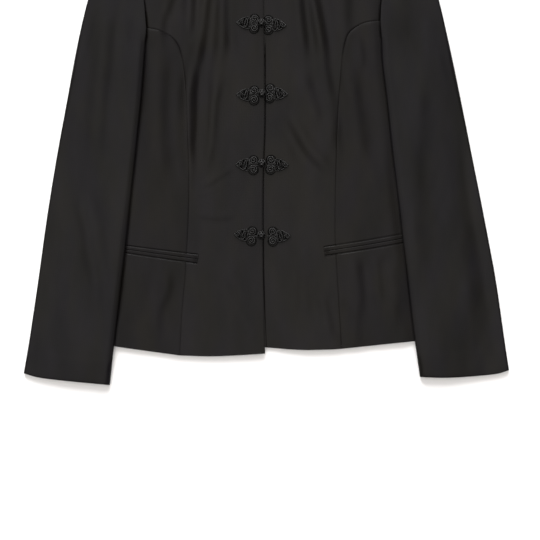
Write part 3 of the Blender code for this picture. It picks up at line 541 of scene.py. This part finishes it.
NECK_SHARE = 0.42
SEAM_SHARE = 0.77
for side in SIDES:
    seam = beside(SHAPED_SEAMS[side], side * seam_opening(side))
    armhole = joined(seam[-1:], ARMHOLES[side][-2::-1])
    edge = smooth_line(half(side, CENTRE_FRONT, [(-UNDERLAP, 8.0), (-UNDERLAP, 562.6)]))
    near_edge = [0.02, 0.04, 0.06] if side < 0 else np.linspace(0.072, 0.156, 24)
    u = np.unique([*np.linspace(0, NECK_SHARE, 28), *near_edge, *np.linspace(NECK_SHARE, 1, 46)])
    by_pocket = np.linspace(*half(side, (0.19, 0.25), (0.21, 0.27)), 56)
    below = np.unique([*np.linspace(0, SEAM_SHARE, 190), *by_pocket])
    v = np.concatenate([below[:-1], SEAM_SHARE + (1 - SEAM_SHARE) * shares(48, 130.0, start=False)])
    plan = patch(
        along(smooth_line(half(side, RIGHT_FRONT_HEM, LEFT_FRONT_HEM)), u),
        kinked([NECKLINES[side], SHOULDERS[side][::-1]], [NECK_SHARE], u),
        along(edge, v),
        kinked([seam, armhole], [SEAM_SHARE], v),
        u,
        v,
    )
    points = lifted(plan, lambda x, y: front_height(x, y, side))
    front = sewn_cloth(f"{NAMES[side]}_front_panel", [points], CLOTH, body_suiting, rim=FRONT_RIM)
    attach(front, "root")
    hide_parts(f"{NAMES[side]}_front")

# ---- The two side fronts ----
# Narrow panels between the shaped seams and the side seams, of the same suiting, cut a little off the
# straight grain. The top of each is part of the armhole, and the sleeve lies over its outer part.
RIGHT_SIDE_HEM = [(-115.9, -3.4), (-157.3, 2.2), (-204, 9), (-243, 18)]
LEFT_SIDE_HEM = [(107.5, 5.8), (132.5, 8.4), (204, 15.8), (243, 18)]
RIGHT_UNDERARM_CURVE = [(-163.4, 430), (-179, 411), (-200, 396), (-223.6, 381)]
LEFT_UNDERARM_CURVE = [(161.5, 436), (177, 415), (199, 398), (223.6, 381)]
UNDERARM_CURVES = {-1: smooth_line(RIGHT_UNDERARM_CURVE), 1: smooth_line(LEFT_UNDERARM_CURVE)}
SIDE_HEMS = {-1: smooth_line(RIGHT_SIDE_HEM), 1: smooth_line(LEFT_SIDE_HEM)}
side_suiting = suiting("black_side_suiting", math.radians(-5), BODY_BLACK, 0.107)
for side in SIDES:
    seam = beside(SHAPED_SEAMS[side], -side * seam_opening(side))
    armhole = np.array([seam[-1], UNDERARM_CURVES[side][0]])
    u = shares(44, 105.0, start=False)
    v = np.unique([*np.linspace(0, 1, 170), *np.linspace(0.27, 0.39, 90)])
    plan = patch(
        along(SIDE_HEMS[side], u),
        kinked([armhole, UNDERARM_CURVES[side]], [u[4]], u),
        along(seam, v),
        along(SIDE_LINES[side], v),
        u,
        v,
    )
    points = lifted(plan, lambda x, y: front_height(x, y, side))
    name = f"{NAMES[side]}_side_front_panel"
    side_front = sewn_cloth(name, [points], CLOTH, side_suiting, rim=FRONT_RIM)
    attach(side_front, "root")
    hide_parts(f"{NAMES[side]}_side_front")

# ---- The pockets ----
# Each pocket is a slit with two narrow welts, folded strips of the same suiting that meet along the
# pocket line. The front sinks to the stitching round them. Close cross stitches hold both ends.
WELT_WALL = 0.6
WELT_RISE = 0.8  # from the front to the outer face
END_STITCH = 0.2  # radius of the thread
STITCHES = 8  # at each end


def cord_run(points, radius, closed=False, sides=10):
    """A round cord: its points, its faces, and where each corner of a face is, along it and around it."""
    p = np.array(points, float)
    way = np.roll(p, -1, axis=0) - np.roll(p, 1, axis=0) if closed else np.gradient(p, axis=0)
    way /= np.linalg.norm(way, axis=1)[:, None]
    out = np.cross(way[0], (0.3, 0.2, 1.0))
    outs = []
    for direction in way:
        out = out - (out @ direction) * direction
        out /= np.linalg.norm(out)
        outs.append(out)
    outs = np.array(outs)
    ups = np.cross(way, outs)
    turn = 2 * math.pi * np.arange(sides) / sides
    spokes = np.cos(turn)[:, None] * outs[:, None] + np.sin(turn)[:, None] * ups[:, None]
    rings = p[:, None] + radius * spokes
    step = np.linalg.norm(np.diff(p, axis=0, append=p[:1]), axis=1)
    reach = np.concatenate([[0], np.cumsum(step)])
    faces, lay = [], []
    for i in range(len(p) if closed else len(p) - 1):
        for j in range(sides):
            a, b = i * sides, (i + 1) % len(p) * sides
            faces.append((a + j, a + (j + 1) % sides, b + (j + 1) % sides, b + j))
            near, far, low, high = reach[i], reach[i + 1], j / sides, (j + 1) / sides
            lay.append([(near, low), (near, high), (far, high), (far, low)])
    if not closed:
        last = (len(p) - 1) * sides
        faces += [tuple(range(sides - 1, -1, -1)), tuple(range(last, last + sides))]
        lay += [[(0.0, 0.0)] * sides] * 2
    return rings.reshape(-1, 3), faces, lay


def corded(name, runs, laid, materials, flipped=False, under=()):
    """One piece from runs of cord, which laid puts in place. Those under them have a second material."""
    points, faces, lays, start = [], [], [], 0
    for run_points, run_faces, run_lay in [*runs, *under]:
        points.append(run_points)
        faces += [tuple(start + corner for corner in face) for face in run_faces]
        lays += run_lay
        start += len(run_points)
    mesh = bpy.data.meshes.new(name)
    mesh.from_pydata(((laid(np.vstack(points)) + HEM_TO_MIDDLE) * MM).tolist(), [], faces)
    around = mesh.uv_layers.new(name="lay")
    around.uv.foreach_set("vector", np.array([corner for lay in lays for corner in lay], float).ravel())
    if flipped:
        mesh.flip_normals()
    mesh.shade_smooth()
    for material in materials:
        mesh.materials.append(material)
    over = sum(len(run_faces) for _, run_faces, _ in runs)
    mesh.polygons.foreach_set("material_index", [0] * over + [1] * (len(faces) - over))
    piece = bpy.data.objects.new(name, mesh)
    bpy.context.scene.collection.objects.link(piece)
    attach(piece, "root")
    return piece


welt_suiting = suiting("black_welt_suiting", math.radians(3), BODY_BLACK, 0.095)
stations = np.array([0.0, 0.05, 0.13, 0.26, 0.5, 0.74, 0.87, 0.95, 1.0])[:, None]
wide_edge = [-0.75, -0.36, -0.1, 0.0]
crisp_edge = [-0.4, -0.08, -0.01, 0.0]
for side in SIDES:
    for name, way in (("upper", side), ("lower", -side)):
        inner_edge, outer_edge = (wide_edge, crisp_edge) if name == "upper" else (crisp_edge, wide_edge)
        crown = np.array([*inner_edge, 0.02, *outer_edge[::-1]])
        reach = np.linspace(0, 1, 60)
        inner_line = along(beside(POCKETS[side], way * SEAM_GAP / 2), reach)
        toward = along(beside(POCKETS[side], way * (1 + SEAM_GAP / 2)), reach) - inner_line
        across = stations * welt_width(side, reach)
        plan = inner_line + across[..., None] * toward
        points = lifted(plan, lambda x, y: front_height(x, y, side, False) + WELT_RISE + crown[:, None])
        welt = sewn_cloth(f"{NAMES[side]}_{name}_welt", [points], WELT_WALL, welt_suiting, rim=0.12)
        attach(welt, "root")
        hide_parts(f"{NAMES[side]}_pocket_{name}_welt")

for side in SIDES:
    for end in (0.0, 1.0):
        crossing = np.arange(STITCHES)
        at = abs(end - 0.006 - 0.008 * crossing)
        reach_across = welt_width(side, end) + 0.7
        middle = along(POCKETS[side], at)
        edge = along(beside(POCKETS[side], reach_across), at)
        plan = middle + (edge - middle) * np.where(crossing % 2, 1, -1)[:, None]
        plan = along(plan, np.linspace(0, 1, 90))
        past_welt = nearest(*plan.T, POCKETS[side])[0] - reach_across + 1.3
        over = WELT_RISE + 0.15 - 0.9 * soft_step(past_welt / 1.2)
        height = front_height(*plan.T, side, False) + over
        thread = cord_run(np.column_stack([plan, height]), END_STITCH, sides=6)
        name = f"{NAMES[side]}_pocket_end_stitches_{int(end)}"
        corded(name, [thread], lambda points: points, [body_suiting])

# ---- The sleeves ----
# Two-piece sleeves of the same suiting. Each is a flat tube here: the under sleeve rests on the surface
# beside the body and climbs over its side, and the upper sleeve lies on it. The cuffs are turned up
# inside and left open.
SLEEVE_THICK = 5.6  # upper sleeve on under sleeve
SLEEVE_LIFT = 6.7  # how far a sleeve rises to lie over the side of the body
POCKET_LIFT = 1.5  # and how much more over a pocket
PAST_HEM = 12.0  # how far past the hem it begins to come down
INNER_ROLL = {-1: 1.9, 1: 1.7}  # how far it rolls down to its inner fold
SLEEVE_SINK = 1.7  # the most that its creases together sink
CUFF_HEM = 36.0  # how far the cuff is turned up inside
RIGHT_OUTER_FOLD = [
    (-186.2, 587.4), (-212, 560), (-230, 527), (-243.2, 487.1), (-256.2, 431.9),
    (-271.7, 349.1), (-286.9, 266.3), (-300.2, 183.5), (-311.7, 100.7), (-324, 17.9),
    (-331.8, -28),
]
LEFT_OUTER_FOLD = [
    (186.2, 587.4), (211, 560), (228.5, 527), (241.5, 487.1), (254.3, 431.9),
    (271.7, 349.1), (288.3, 266.3), (304.7, 183.5), (320, 100.7), (332, 17.9),
    (338.3, -23.8),
]
RIGHT_CUFF = [(-331.8, -28), (-310, -34), (-268, -39), (-212.8, -44.2)]
LEFT_CUFF = [(338.3, -23.8), (316, -29.5), (258, -34), (215.3, -33.1)]
# The long creases of the upper sleeves. The columns are those of the fronts' creases.
SLEEVE_CREASES = [
    (
        [
            (-196, 530), (-203.3, 477.5), (-210.2, 431.9), (-215.3, 376.7),
            (-219.4, 317.4), (-222, 266.3), (-222, 205),
        ],
        18, 4.4,
    ),
    ([(-252, 232), (-245, 200), (-238, 174), (-233, 138), (-225, 96), (-224, 30)], 12, 3),
    ([(-292, 140), (-297, 90), (-306, 30)], 18, 1.2),
    (
        [
            (226.3, 440), (223.6, 380.9), (219.4, 325.7), (214.9, 266.3),
            (216.7, 211.1), (216.7, 155.9), (214.9, 96.6), (223, 36),
        ],
        16, 1.2,
    ),
    ([(268, 310), (277, 243), (285, 166), (295, 97), (299, 0)], 26, 3.8),
]
OUTER_FOLDS = {-1: smooth_line(RIGHT_OUTER_FOLD), 1: smooth_line(LEFT_OUTER_FOLD)}
CUFFS = {-1: smooth_line(RIGHT_CUFF), 1: smooth_line(LEFT_CUFF)}


def over_body(x, y, side, inside, outside):
    """1 where a sleeve lies over the side of the body, and 0 where it lies on the surface beside it.

    It slopes from inside to outside, which are distances past the outline of the body."""
    below_hem = SIDE_HEMS[side][::-1] - (0.0, PAST_HEM)
    outline = joined(UNDERARM_CURVES[side], SIDE_LINES[side][::-1], below_hem)
    distance, turn, _ = nearest(x, y, outline)
    signed = np.where(turn * side > 0, 1, -1) * distance
    return soft_step((outside - signed) / (outside - inside))


def pocket_rise(x, y, side, width):
    """How much more a sleeve rises where it crosses the welts of the pocket."""
    return POCKET_LIFT * np.exp(-((nearest(x, y, POCKETS[side])[0] / width) ** 2))


def sleeve_height(x, y, side, upper):
    """A sleeve's outer face. The edges of the flat tube turn in to half its height. It thins to its tip."""
    low = (SLEEVE_LIFT + pocket_rise(x, y, side, 28.0)) * over_body(x, y, side, 1.0, 24.0)
    rise = (SLEEVE_LIFT + SEAM_GAP + pocket_rise(x, y, side, 60.0)) * over_body(x, y, side, -8.0, 84.0)
    inner_edge = nearest(x, y, INNER_FOLDS[side])[0]
    roll = INNER_ROLL[side] * soft_step((11.0 - inner_edge) / 11.0) ** 2
    high = SLEEVE_THICK + rise - roll
    edge = np.minimum(nearest(x, y, OUTER_FOLDS[side])[0], inner_edge)
    from_tip = np.hypot(x - OUTER_FOLDS[side][0, 0], y - OUTER_FOLDS[side][0, 1])
    thinner_tip = 1 - 0.45 * np.exp(-((from_tip / 9.0) ** 2))
    radius = (high - low - FOLD_GAP) / 2 * thinner_tip
    drop = fold_drop(edge, radius)
    if not upper:
        return low + drop
    loose = creases_drop(x, y, SLEEVE_CREASES) + 0.8 * loose_cloth(x, y) + 0.1
    loose = loose * soft_step((edge - 3.0) / 16.0)
    loose = np.where(loose < 0, SLEEVE_SINK * np.tanh(loose / SLEEVE_SINK), loose)
    cap = seam_dip(nearest(x, y, ARMHOLES[side])[0])
    to_cuff = nearest(x, y, CUFFS[side])[0]
    turned_up = 0.22 * soft_step((CUFF_HEM - to_cuff) / 5.0) - 0.3 * np.exp(-((to_cuff / 1.5) ** 2))
    return high - drop + loose - cap + turned_up * soft_step(edge / 6.0)


sleeve_suiting = suiting("black_sleeve_suiting", math.radians(8), (0.0040, 0.0040, 0.0042), 0.12)
cap_share = 0.22
fold_share = 0.25
for side in SIDES:
    cap = beside(ARMHOLES[side], side * SEAM_GAP)
    cap[0] = OUTER_FOLDS[side][0]
    to_fold = np.array([cap[-1], INNER_FOLDS[side][0]])
    u = shares(54, 110.0)
    down = np.linspace(0, 1, 170)
    v = np.concatenate([np.linspace(0, cap_share, 50), [0.235], fold_share + (1 - fold_share) * down])
    plan = patch(
        np.repeat(OUTER_FOLDS[side][:1], len(u), axis=0),
        along(CUFFS[side], u),
        along(OUTER_FOLDS[side], v),
        kinked([cap, to_fold, INNER_FOLDS[side]], [cap_share, fold_share], v),
        u,
        v,
    )
    points = lifted(plan, lambda x, y: sleeve_height(x, y, side, True))
    upper_sleeve = sewn_cloth(f"{NAMES[side]}_sleeve_top", [points], CLOTH, sleeve_suiting)
    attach(upper_sleeve, "root")
    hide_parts(f"{NAMES[side]}_upper_sleeve")


def cuff_share(side, x):
    """How far along the cuff, from the outer fold, a place with this x is."""
    cuff = CUFFS[side][::-1]
    return 1 - np.interp(side * x, side * cuff[:, 0], np.linspace(0, 1, len(cuff)))


notch_share = 0.33
down = np.linspace(0, 1, 150)
v = np.concatenate([np.linspace(0, notch_share, 50), notch_share + (1 - notch_share) * down[1:]])
for side in SIDES:
    body_side = smooth_line([*SIDE_LINES[side][::-14], (side * 250.0, -36.0)])
    foot = beside(body_side, side * 25.0)
    foot[0] = (side * 231.0, 385.0)
    shelf = beside(body_side, -side * 1.0)
    foot_share, shelf_share = cuff_share(side, foot[-1, 0]), cuff_share(side, shelf[-1, 0])
    foot[-1], shelf[-1] = along(CUFFS[side], [foot_share, shelf_share])
    armhole = beside(BACK_ARMHOLES[side], -side * 2 * SEAM_GAP)[::-1]
    above_underarm = armhole[armhole[:, 1] > 408]
    armhole = joined(OUTER_FOLDS[side][:1], above_underarm[1:], foot[:1])
    outer = shares(26, 80.0, end=False)
    slope = np.linspace(0, 1, 16)
    inner = shares(16, 42.0, start=False)
    beside_body = patch(
        np.repeat(OUTER_FOLDS[side][:1], len(outer), axis=0),
        along(CUFFS[side], outer * foot_share),
        along(OUTER_FOLDS[side], v),
        kinked([armhole, foot], [notch_share], v),
        outer,
        v,
    )
    on_slope = patch(
        along(np.array([foot[0], shelf[0]]), slope),
        along(CUFFS[side], foot_share + slope * (shelf_share - foot_share)),
        along(foot, down),
        along(shelf, down),
        slope,
        down,
    )
    on_body = patch(
        along(np.array([shelf[0], *UNDERARM_CURVES[side][-5::-1]]), inner),
        along(CUFFS[side], shelf_share + inner * (1 - shelf_share)),
        along(shelf, down),
        along(INNER_FOLDS[side], down),
        inner,
        down,
    )
    plans = (beside_body, on_slope, on_body)
    sheets = [lifted(plan, lambda x, y: sleeve_height(x, y, side, False)) for plan in plans]
    name = f"{NAMES[side]}_sleeve_under"
    under_sleeve = sewn_cloth(name, sheets, CLOTH, sleeve_suiting, face_up=False)
    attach(under_sleeve, "root")
    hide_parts(f"{NAMES[side]}_under_sleeve")

# ---- The stand collar ----
# A stiffened band of the same suiting, doubled, that is sewn to the whole neckline. It lies flat here,
# folded at the sides of the neck, and its rounded ends meet at the centre front.
COLLAR_WALL = 2.0
COLLAR_GAP = 0.08  # from the neckline
STAND_HEIGHT = 35.0
STAND_CORNER = 8.0  # the rounding of its ends
FOLD_LEAN = 35.0
# How far the stand leans outwards, in degrees, at shares of each stretch of the neckline.
FRONT_LEAN = [(0.0, 0.0), (0.15, 2.0), (0.45, 30.0), (0.8, 50.0), (1.0, FOLD_LEAN)]
BACK_LEAN = [(0.0, FOLD_LEAN), (0.2, 12.0), (0.5, 0.0), (0.8, -12.0), (1.0, -FOLD_LEAN)]
# Places near its folds, as shares of half the body's thickness.
FOLD_STATIONS = np.array([1.0, 0.8, 0.6, 0.4, 0.25, 0.12, 0.05, 0.01, 0.0])


def stand_stretch(line, share, lean, height, toward, front):
    """Both long edges of one stretch of the stand. Its outer face is up in front and down behind."""
    foot = along(line, share)
    turn = np.radians(np.interp(share, *np.transpose(lean))) * toward
    way = np.stack([np.sin(turn), np.cos(turn)], axis=1)
    fold = math.radians(FOLD_LEAN)
    out, up = abs(foot[:, 0]) - NECK_SIDE[0], foot[:, 1] - NECK_SIDE[1]
    from_fold = out * math.cos(fold) + up * math.sin(fold)
    drop = fold_drop(abs(from_fold), BODY_THICK / 2)[:, None]
    z = BODY_THICK - drop if front else drop
    return np.hstack([foot + way * COLLAR_GAP, z]), np.hstack([foot + way * height[:, None], z])


def front_stretch(side):
    """From the centre front, where the end of the stand is rounded, to the side of the neck."""
    line = NECKLINES[side]
    length = np.linalg.norm(np.diff(line, axis=0), axis=1).sum()
    begins = half(side, 0.0, UNDERLAP + 0.6)
    corner = STAND_CORNER * np.array([0.0, 0.02, 0.08, 0.18, 0.32, 0.5, 0.74, 1.0])
    columns = np.linspace(begins + STAND_CORNER + 2.0, length - BODY_THICK / 2 - 2.0, 36)
    reach = np.concatenate([begins + corner, columns, length - FOLD_STATIONS * BODY_THICK / 2])
    height = STAND_HEIGHT - fold_drop(reach - begins, STAND_CORNER)
    return stand_stretch(line, reach / length, FRONT_LEAN, height, -side, True)


back_neck = smooth_line(BACK_NECKLINE)
back_length = np.linalg.norm(np.diff(back_neck, axis=0), axis=1).sum()
near_fold = FOLD_STATIONS[-2::-1] * BODY_THICK / 2 / back_length
share = np.concatenate([near_fold, np.linspace(0.04, 0.96, 50), 1 - near_fold[::-1]])
back_stand = np.full(len(share), STAND_HEIGHT)
right_foot, right_top = front_stretch(-1)
back_foot, back_top = stand_stretch(back_neck, share, BACK_LEAN, back_stand, 1, False)
left_foot, left_top = front_stretch(1)
foot = np.vstack([right_foot, back_foot, left_foot[::-1]])
top = np.vstack([right_top, back_top, left_top[::-1]])
levels = np.array([0.0, 0.03, 0.1, 0.2, 0.35, 0.5, 0.65, 0.78, 0.86, 0.9, 0.94, 0.97, 1.0])
band = foot + levels[:, None, None] * (top - foot)
collar = sewn_cloth("stand_collar_band", [band], COLLAR_WALL, body_suiting, rim=0.7)
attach(collar, "root")
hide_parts("stand_collar")

# ---- The frogs ----
# Five frogs close the front. Each half is one length of twisted silk cord, coiled into a pair of spirals
# and laced into an open leaf outside them. Under it lies dark matt thread, a painted shadow: a ring round
# each spiral and close stitches across the leaf. The left half ends in a ball knot and the right half in
# its loop.
FROG_ROWS = [
    # y, ball_x, ball_rise, loop_x, loop_rise, loop_turn, knot_x, knot_rise, knot_turn
    (548.8, -2.6, 1, -13.2, 0, 0, 9.5, 0, 0),
    (453.3, -3, 1.6, -12.8, 1.2, 3, 6.6, -0.4, -3),
    (356.7, -3, 1, -13.9, -1.2, 2, 7.9, 1.8, -5),
    (260.8, -1.4, 0.6, -12.9, -1.4, 1, 11, -0.8, -3),
    (162.8, -1.4, -0.4, -14.4, -1.4, 6, 14.6, -1.8, 0),
]
ON_PANEL = 0.4  # from a front to what is sewn on it
COIL_SPREAD = 6.5  # from the middle of a frog to the middle of a spiral
COIL_TURNS = 2.05
COIL_RADIUS = 6.0
COIL_START = 0.6
LACING = (3.2, 22.5)  # where the lacing of a leaf begins and ends
RING_RADIUS = 5.2  # of the loop round the ball knot
BALL_RADIUS = 4.9
THICK_CORD = 1.25  # radius of the cord in the spirals
THIN_CORD = 0.8  # and in the lacing


def twisted_silk():
    """Black silk cord of two plies: soft highlights, and grooves that wind round it with painted shade."""
    material, nodes, shader = new_material("black_silk_cord", 0.34, 0.27)
    lay = nodes.new("ShaderNodeUVMap").outputs["UV"]
    wave = nodes.new("ShaderNodeTexWave")
    wave.wave_type = "BANDS"
    wave.bands_direction = "DIAGONAL"
    plies = fed(wave, {"Vector": lay, "Scale": 1.0}).outputs["Color"]
    bump = fed(nodes.new("ShaderNodeBump"), {"Height": plies, "Strength": 0.6, "Distance": 0.2 * MM})
    # Painted shade: the colour is darkest in the grooves between the plies, where the bump lies low.
    painted_shades = colours(nodes, plies, [(0.0, (0.0006, 0.0006, 0.0006)), (1.0, (0.0040, 0.0036, 0.0035))])
    fed(shader, {"Base Color": painted_shades, "Normal": bump.outputs["Normal"]})
    return material


def spiral(y, handed):
    """A flat coil of two turns that starts in its middle. It swells between its middle and its rim."""
    turn = np.linspace(0, COIL_TURNS * 2 * math.pi, 110)
    radius = COIL_START + (COIL_RADIUS - COIL_START) * turn / turn[-1]
    height = np.interp(radius, [COIL_START, 1.8, 3.5, COIL_RADIUS], [1.9, 2.2, 2.0, 1.3])
    angle = handed * (turn - turn[-1])
    return np.stack([radius * np.cos(angle), y + radius * np.sin(angle), height], axis=1)


def leaf_runs():
    """The openwork leaf: a loop, and a lacing that crosses inside it from edge to edge."""
    edge = smooth_line([(2.4, 0.6), (3.6, 5.0), (8.0, 7.7), (13.0, 7.3), (19.0, 4.4), (24.4, 0.0)], 12)
    loop = np.vstack([edge, edge[-2:0:-1] * (1, -1)])
    runs = [cord_run(np.column_stack([loop, np.full(len(loop), 1.3)]), 0.95, closed=True, sides=8)]
    begins, ends = LACING
    reach = np.linspace(begins, ends, 70)
    width = np.interp(reach, [begins, 7.0, 11.5, 17.0, ends], [2.0, 6.2, 6.5, 4.3, 0.6])
    for handed in (-1, 1):
        phase = ((reach - begins) / (ends - begins)) ** 0.9 * (2.7 + 0.15 * handed) * 2 * math.pi
        z = 1.75 + handed * 0.5 * np.cos(2 * phase)
        lacing = np.stack([reach, handed * width * np.sin(phase), z], axis=1)
        runs.append(cord_run(lacing, THIN_CORD, sides=8))
    return runs


def shadow_thread_runs():
    """Dark matt thread under the cord, painted shadow: a ring round each spiral, set low to show more
    below, and close stitches that darken the gaps of the leaf.
    """
    turn = np.linspace(0, 2 * math.pi, 40, endpoint=False)
    runs = []
    for y in (COIL_SPREAD, -COIL_SPREAD):
        ring = np.stack([6.8 * np.cos(turn), y - 0.4 + 6.8 * np.sin(turn), np.full(40, 0.5)], axis=1)
        runs.append(cord_run(ring, 0.6, closed=True, sides=6))
    reach = np.linspace(3.0, 24.4, 44)
    width = np.interp(reach, [3.0, 7.0, 11.5, 17.0, 24.4], [4.0, 8.5, 8.3, 5.8, 0.9])
    stitches = np.stack([reach, width * np.where(np.arange(44) % 2, 1, -1), np.full(44, 0.25)], axis=1)
    runs.append(cord_run(along(stitches, np.linspace(0, 1, 500)), 0.45, sides=6))
    return runs


def neck_runs(end):
    """The two cords side by side that run between the spirals to the ball knot."""
    line = np.linspace((5.0, 0.0, 1.5), (end, 0.0, 1.9), 20)
    return [cord_run(line + (0, offset, 0), 0.85, sides=8) for offset in (-0.85, 0.85)]


def ring_run(x, y):
    """The loop that goes round the ball knot."""
    turn = np.linspace(0, 2 * math.pi, 48, endpoint=False)
    ring = np.stack([np.cos(turn), np.sin(turn), np.zeros(48)], axis=1) * RING_RADIUS + (x, y, 1.75)
    return cord_run(ring, 0.9, closed=True, sides=8)


def ball_runs():
    """The ball knot: a cord plaited over itself three times round a small core."""
    turn = np.linspace(0, 2 * math.pi, 260, endpoint=False)
    latitude = 1.12 * np.sin(5 * turn)
    longitude = 3 * turn
    radius = BALL_RADIUS - 1.15 + 0.35 * np.cos(10 * turn)
    plait = np.stack(
        [
            radius * np.cos(latitude) * np.cos(longitude),
            radius * np.cos(latitude) * np.sin(longitude),
            radius * np.sin(latitude),
        ],
        axis=1,
    )
    core = [(0, 0, -3.0), (0, 0, 3.0)]
    return [cord_run(plait, 1.15, closed=True, sides=8), cord_run(np.linspace(*core, 5), 3.0, sides=16)]


silk = twisted_silk()
# Dark matt thread under the frogs: painted shadow round the spirals and in the gaps of the leaf.
painted_shadow_thread, nodes, shader = new_material("painted_shadow_black_thread", 0.8, 0.06)
fibres = fed(nodes.new("ShaderNodeTexNoise"), {"Scale": 1500.0}).outputs["Fac"]
painted_shades = colours(nodes, fibres, [(0.0, (0.0006, 0.0006, 0.0007)), (1.0, (0.0038, 0.0036, 0.0036))])
fed(shader, {"Base Color": painted_shades})
for number, row in enumerate(FROG_ROWS, 1):
    y, ball_x, ball_rise, loop_x, loop_rise, loop_turn, knot_x, knot_rise, knot_turn = row
    middle = np.interp(y, CENTRE_LINE[:, 1], CENTRE_LINE[:, 0])
    loop_turn, knot_turn = math.radians(loop_turn), math.radians(knot_turn)
    reach, rise = ball_x - loop_x, ball_rise - loop_rise
    ring_x = rise * math.sin(loop_turn) - reach * math.cos(loop_turn)
    ring_y = rise * math.cos(loop_turn) + reach * math.sin(loop_turn)

    def laid_half(points, side, x, rise, turn, sunk):
        """The half turned, moved and laid on the fronts, so that it follows their surface."""
        out, up, lift = points.T
        at_x = x + side * (out * math.cos(turn) - up * math.sin(turn))
        at_y = y + rise + out * math.sin(turn) + up * math.cos(turn)
        on = np.maximum(at_x, -8.0) if side > 0 else np.minimum(at_x, -1.0)
        return np.stack([at_x, at_y, lift + ON_PANEL - sunk + front_height(on, at_y, side)], axis=1)

    half_runs = [cord_run(spiral(way * COIL_SPREAD, way), THICK_CORD) for way in (1, -1)]
    half_runs += leaf_runs()
    loop_side = corded(
        f"frog_{number}_loop_side",
        [*half_runs, *neck_runs(RING_RADIUS - 0.8 - reach), ring_run(ring_x, ring_y)],
        lambda points: laid_half(points, -1, middle + loop_x, loop_rise, loop_turn, 0.15),
        [silk, painted_shadow_thread],
        flipped=True,
        under=shadow_thread_runs(),
    )
    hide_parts(f"frog_{number}_loop_half")
    knot_side = corded(
        f"frog_{number}_knot_side",
        [*half_runs, *neck_runs(ball_x - knot_x + 8.0)],
        lambda points: laid_half(points, 1, middle + knot_x, knot_rise, knot_turn, -0.05),
        [silk, painted_shadow_thread],
        under=shadow_thread_runs(),
    )
    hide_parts(f"frog_{number}_knot_half")
    seat = FRONT_TOP + LAP_RISE + ON_PANEL + BALL_RADIUS + 0.35
    ball_knot = corded(
        f"frog_{number}_button_knot",
        ball_runs(),
        lambda points: points + (middle + ball_x, y + ball_rise, seat),
        [silk],
    )
    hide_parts(f"frog_{number}_ball_knot")

# ---- The surface, the light and the camera ----
# A seamless sheet of white paper that the jacket lies on. Most of the light falls straight down on it
# from a wide, soft window, and the rest from one low lamp.
paper, nodes, shader = new_material("white_paper", 0.9, 0.2)
fed(shader, {"Base Color": (0.89, 0.89, 0.89, 1)})
bpy.ops.mesh.primitive_plane_add(size=30.0)
surface = bpy.context.object
surface.name = "white_surface"
surface.data.materials.append(paper)

# The window overhead is edged by a slow fall to the dim walls of the room.
world = bpy.data.worlds.new("soft_daylight")
bpy.context.scene.world = world
world.use_nodes = True
nodes = world.node_tree.nodes
direction = nodes.new("ShaderNodeTexCoord").outputs["Generated"]
toward_window = nodes.new("ShaderNodeVectorMath")
toward_window.operation = "DOT_PRODUCT"
fed(toward_window, {0: direction, 1: (-0.11, -0.03, 0.99)})
from_floor = sum_of(nodes, toward_window.outputs["Value"], 0.5, 0.5)
window_levels = [(0.0, 0.06), (0.5, 0.09), (0.8, 0.12), (0.88, 0.16), (0.955, 0.85), (0.98, 1.0)]
warm = [(position, (level, 0.967 * level, 0.94 * level)) for position, level in window_levels]
fed(nodes["Background"], {"Color": colours(nodes, from_floor, warm, "EASE"), "Strength": 2.3})

# A large, soft lamp low beyond the shoulders, which casts the short shadows under the hem and the cuffs.
lamp = bpy.data.lights.new("low_soft_lamp", "SUN")
lamp.energy = 5.5
lamp.angle = 0.8
lamp_object = bpy.data.objects.new("low_soft_lamp", lamp)
lamp_object.rotation_euler = (math.radians(-66.0), 0.0, math.radians(7.0))
bpy.context.scene.collection.objects.link(lamp_object)

camera = bpy.data.cameras.new("camera")
camera.sensor_width = 36.0
camera.lens = 144.7
camera_object = bpy.data.objects.new("camera", camera)
camera_object.location = (0.00503, -0.19024, 3.0)
bpy.context.scene.collection.objects.link(camera_object)
bpy.context.scene.camera = camera_object
bpy.context.scene.view_settings.view_transform = "Standard"
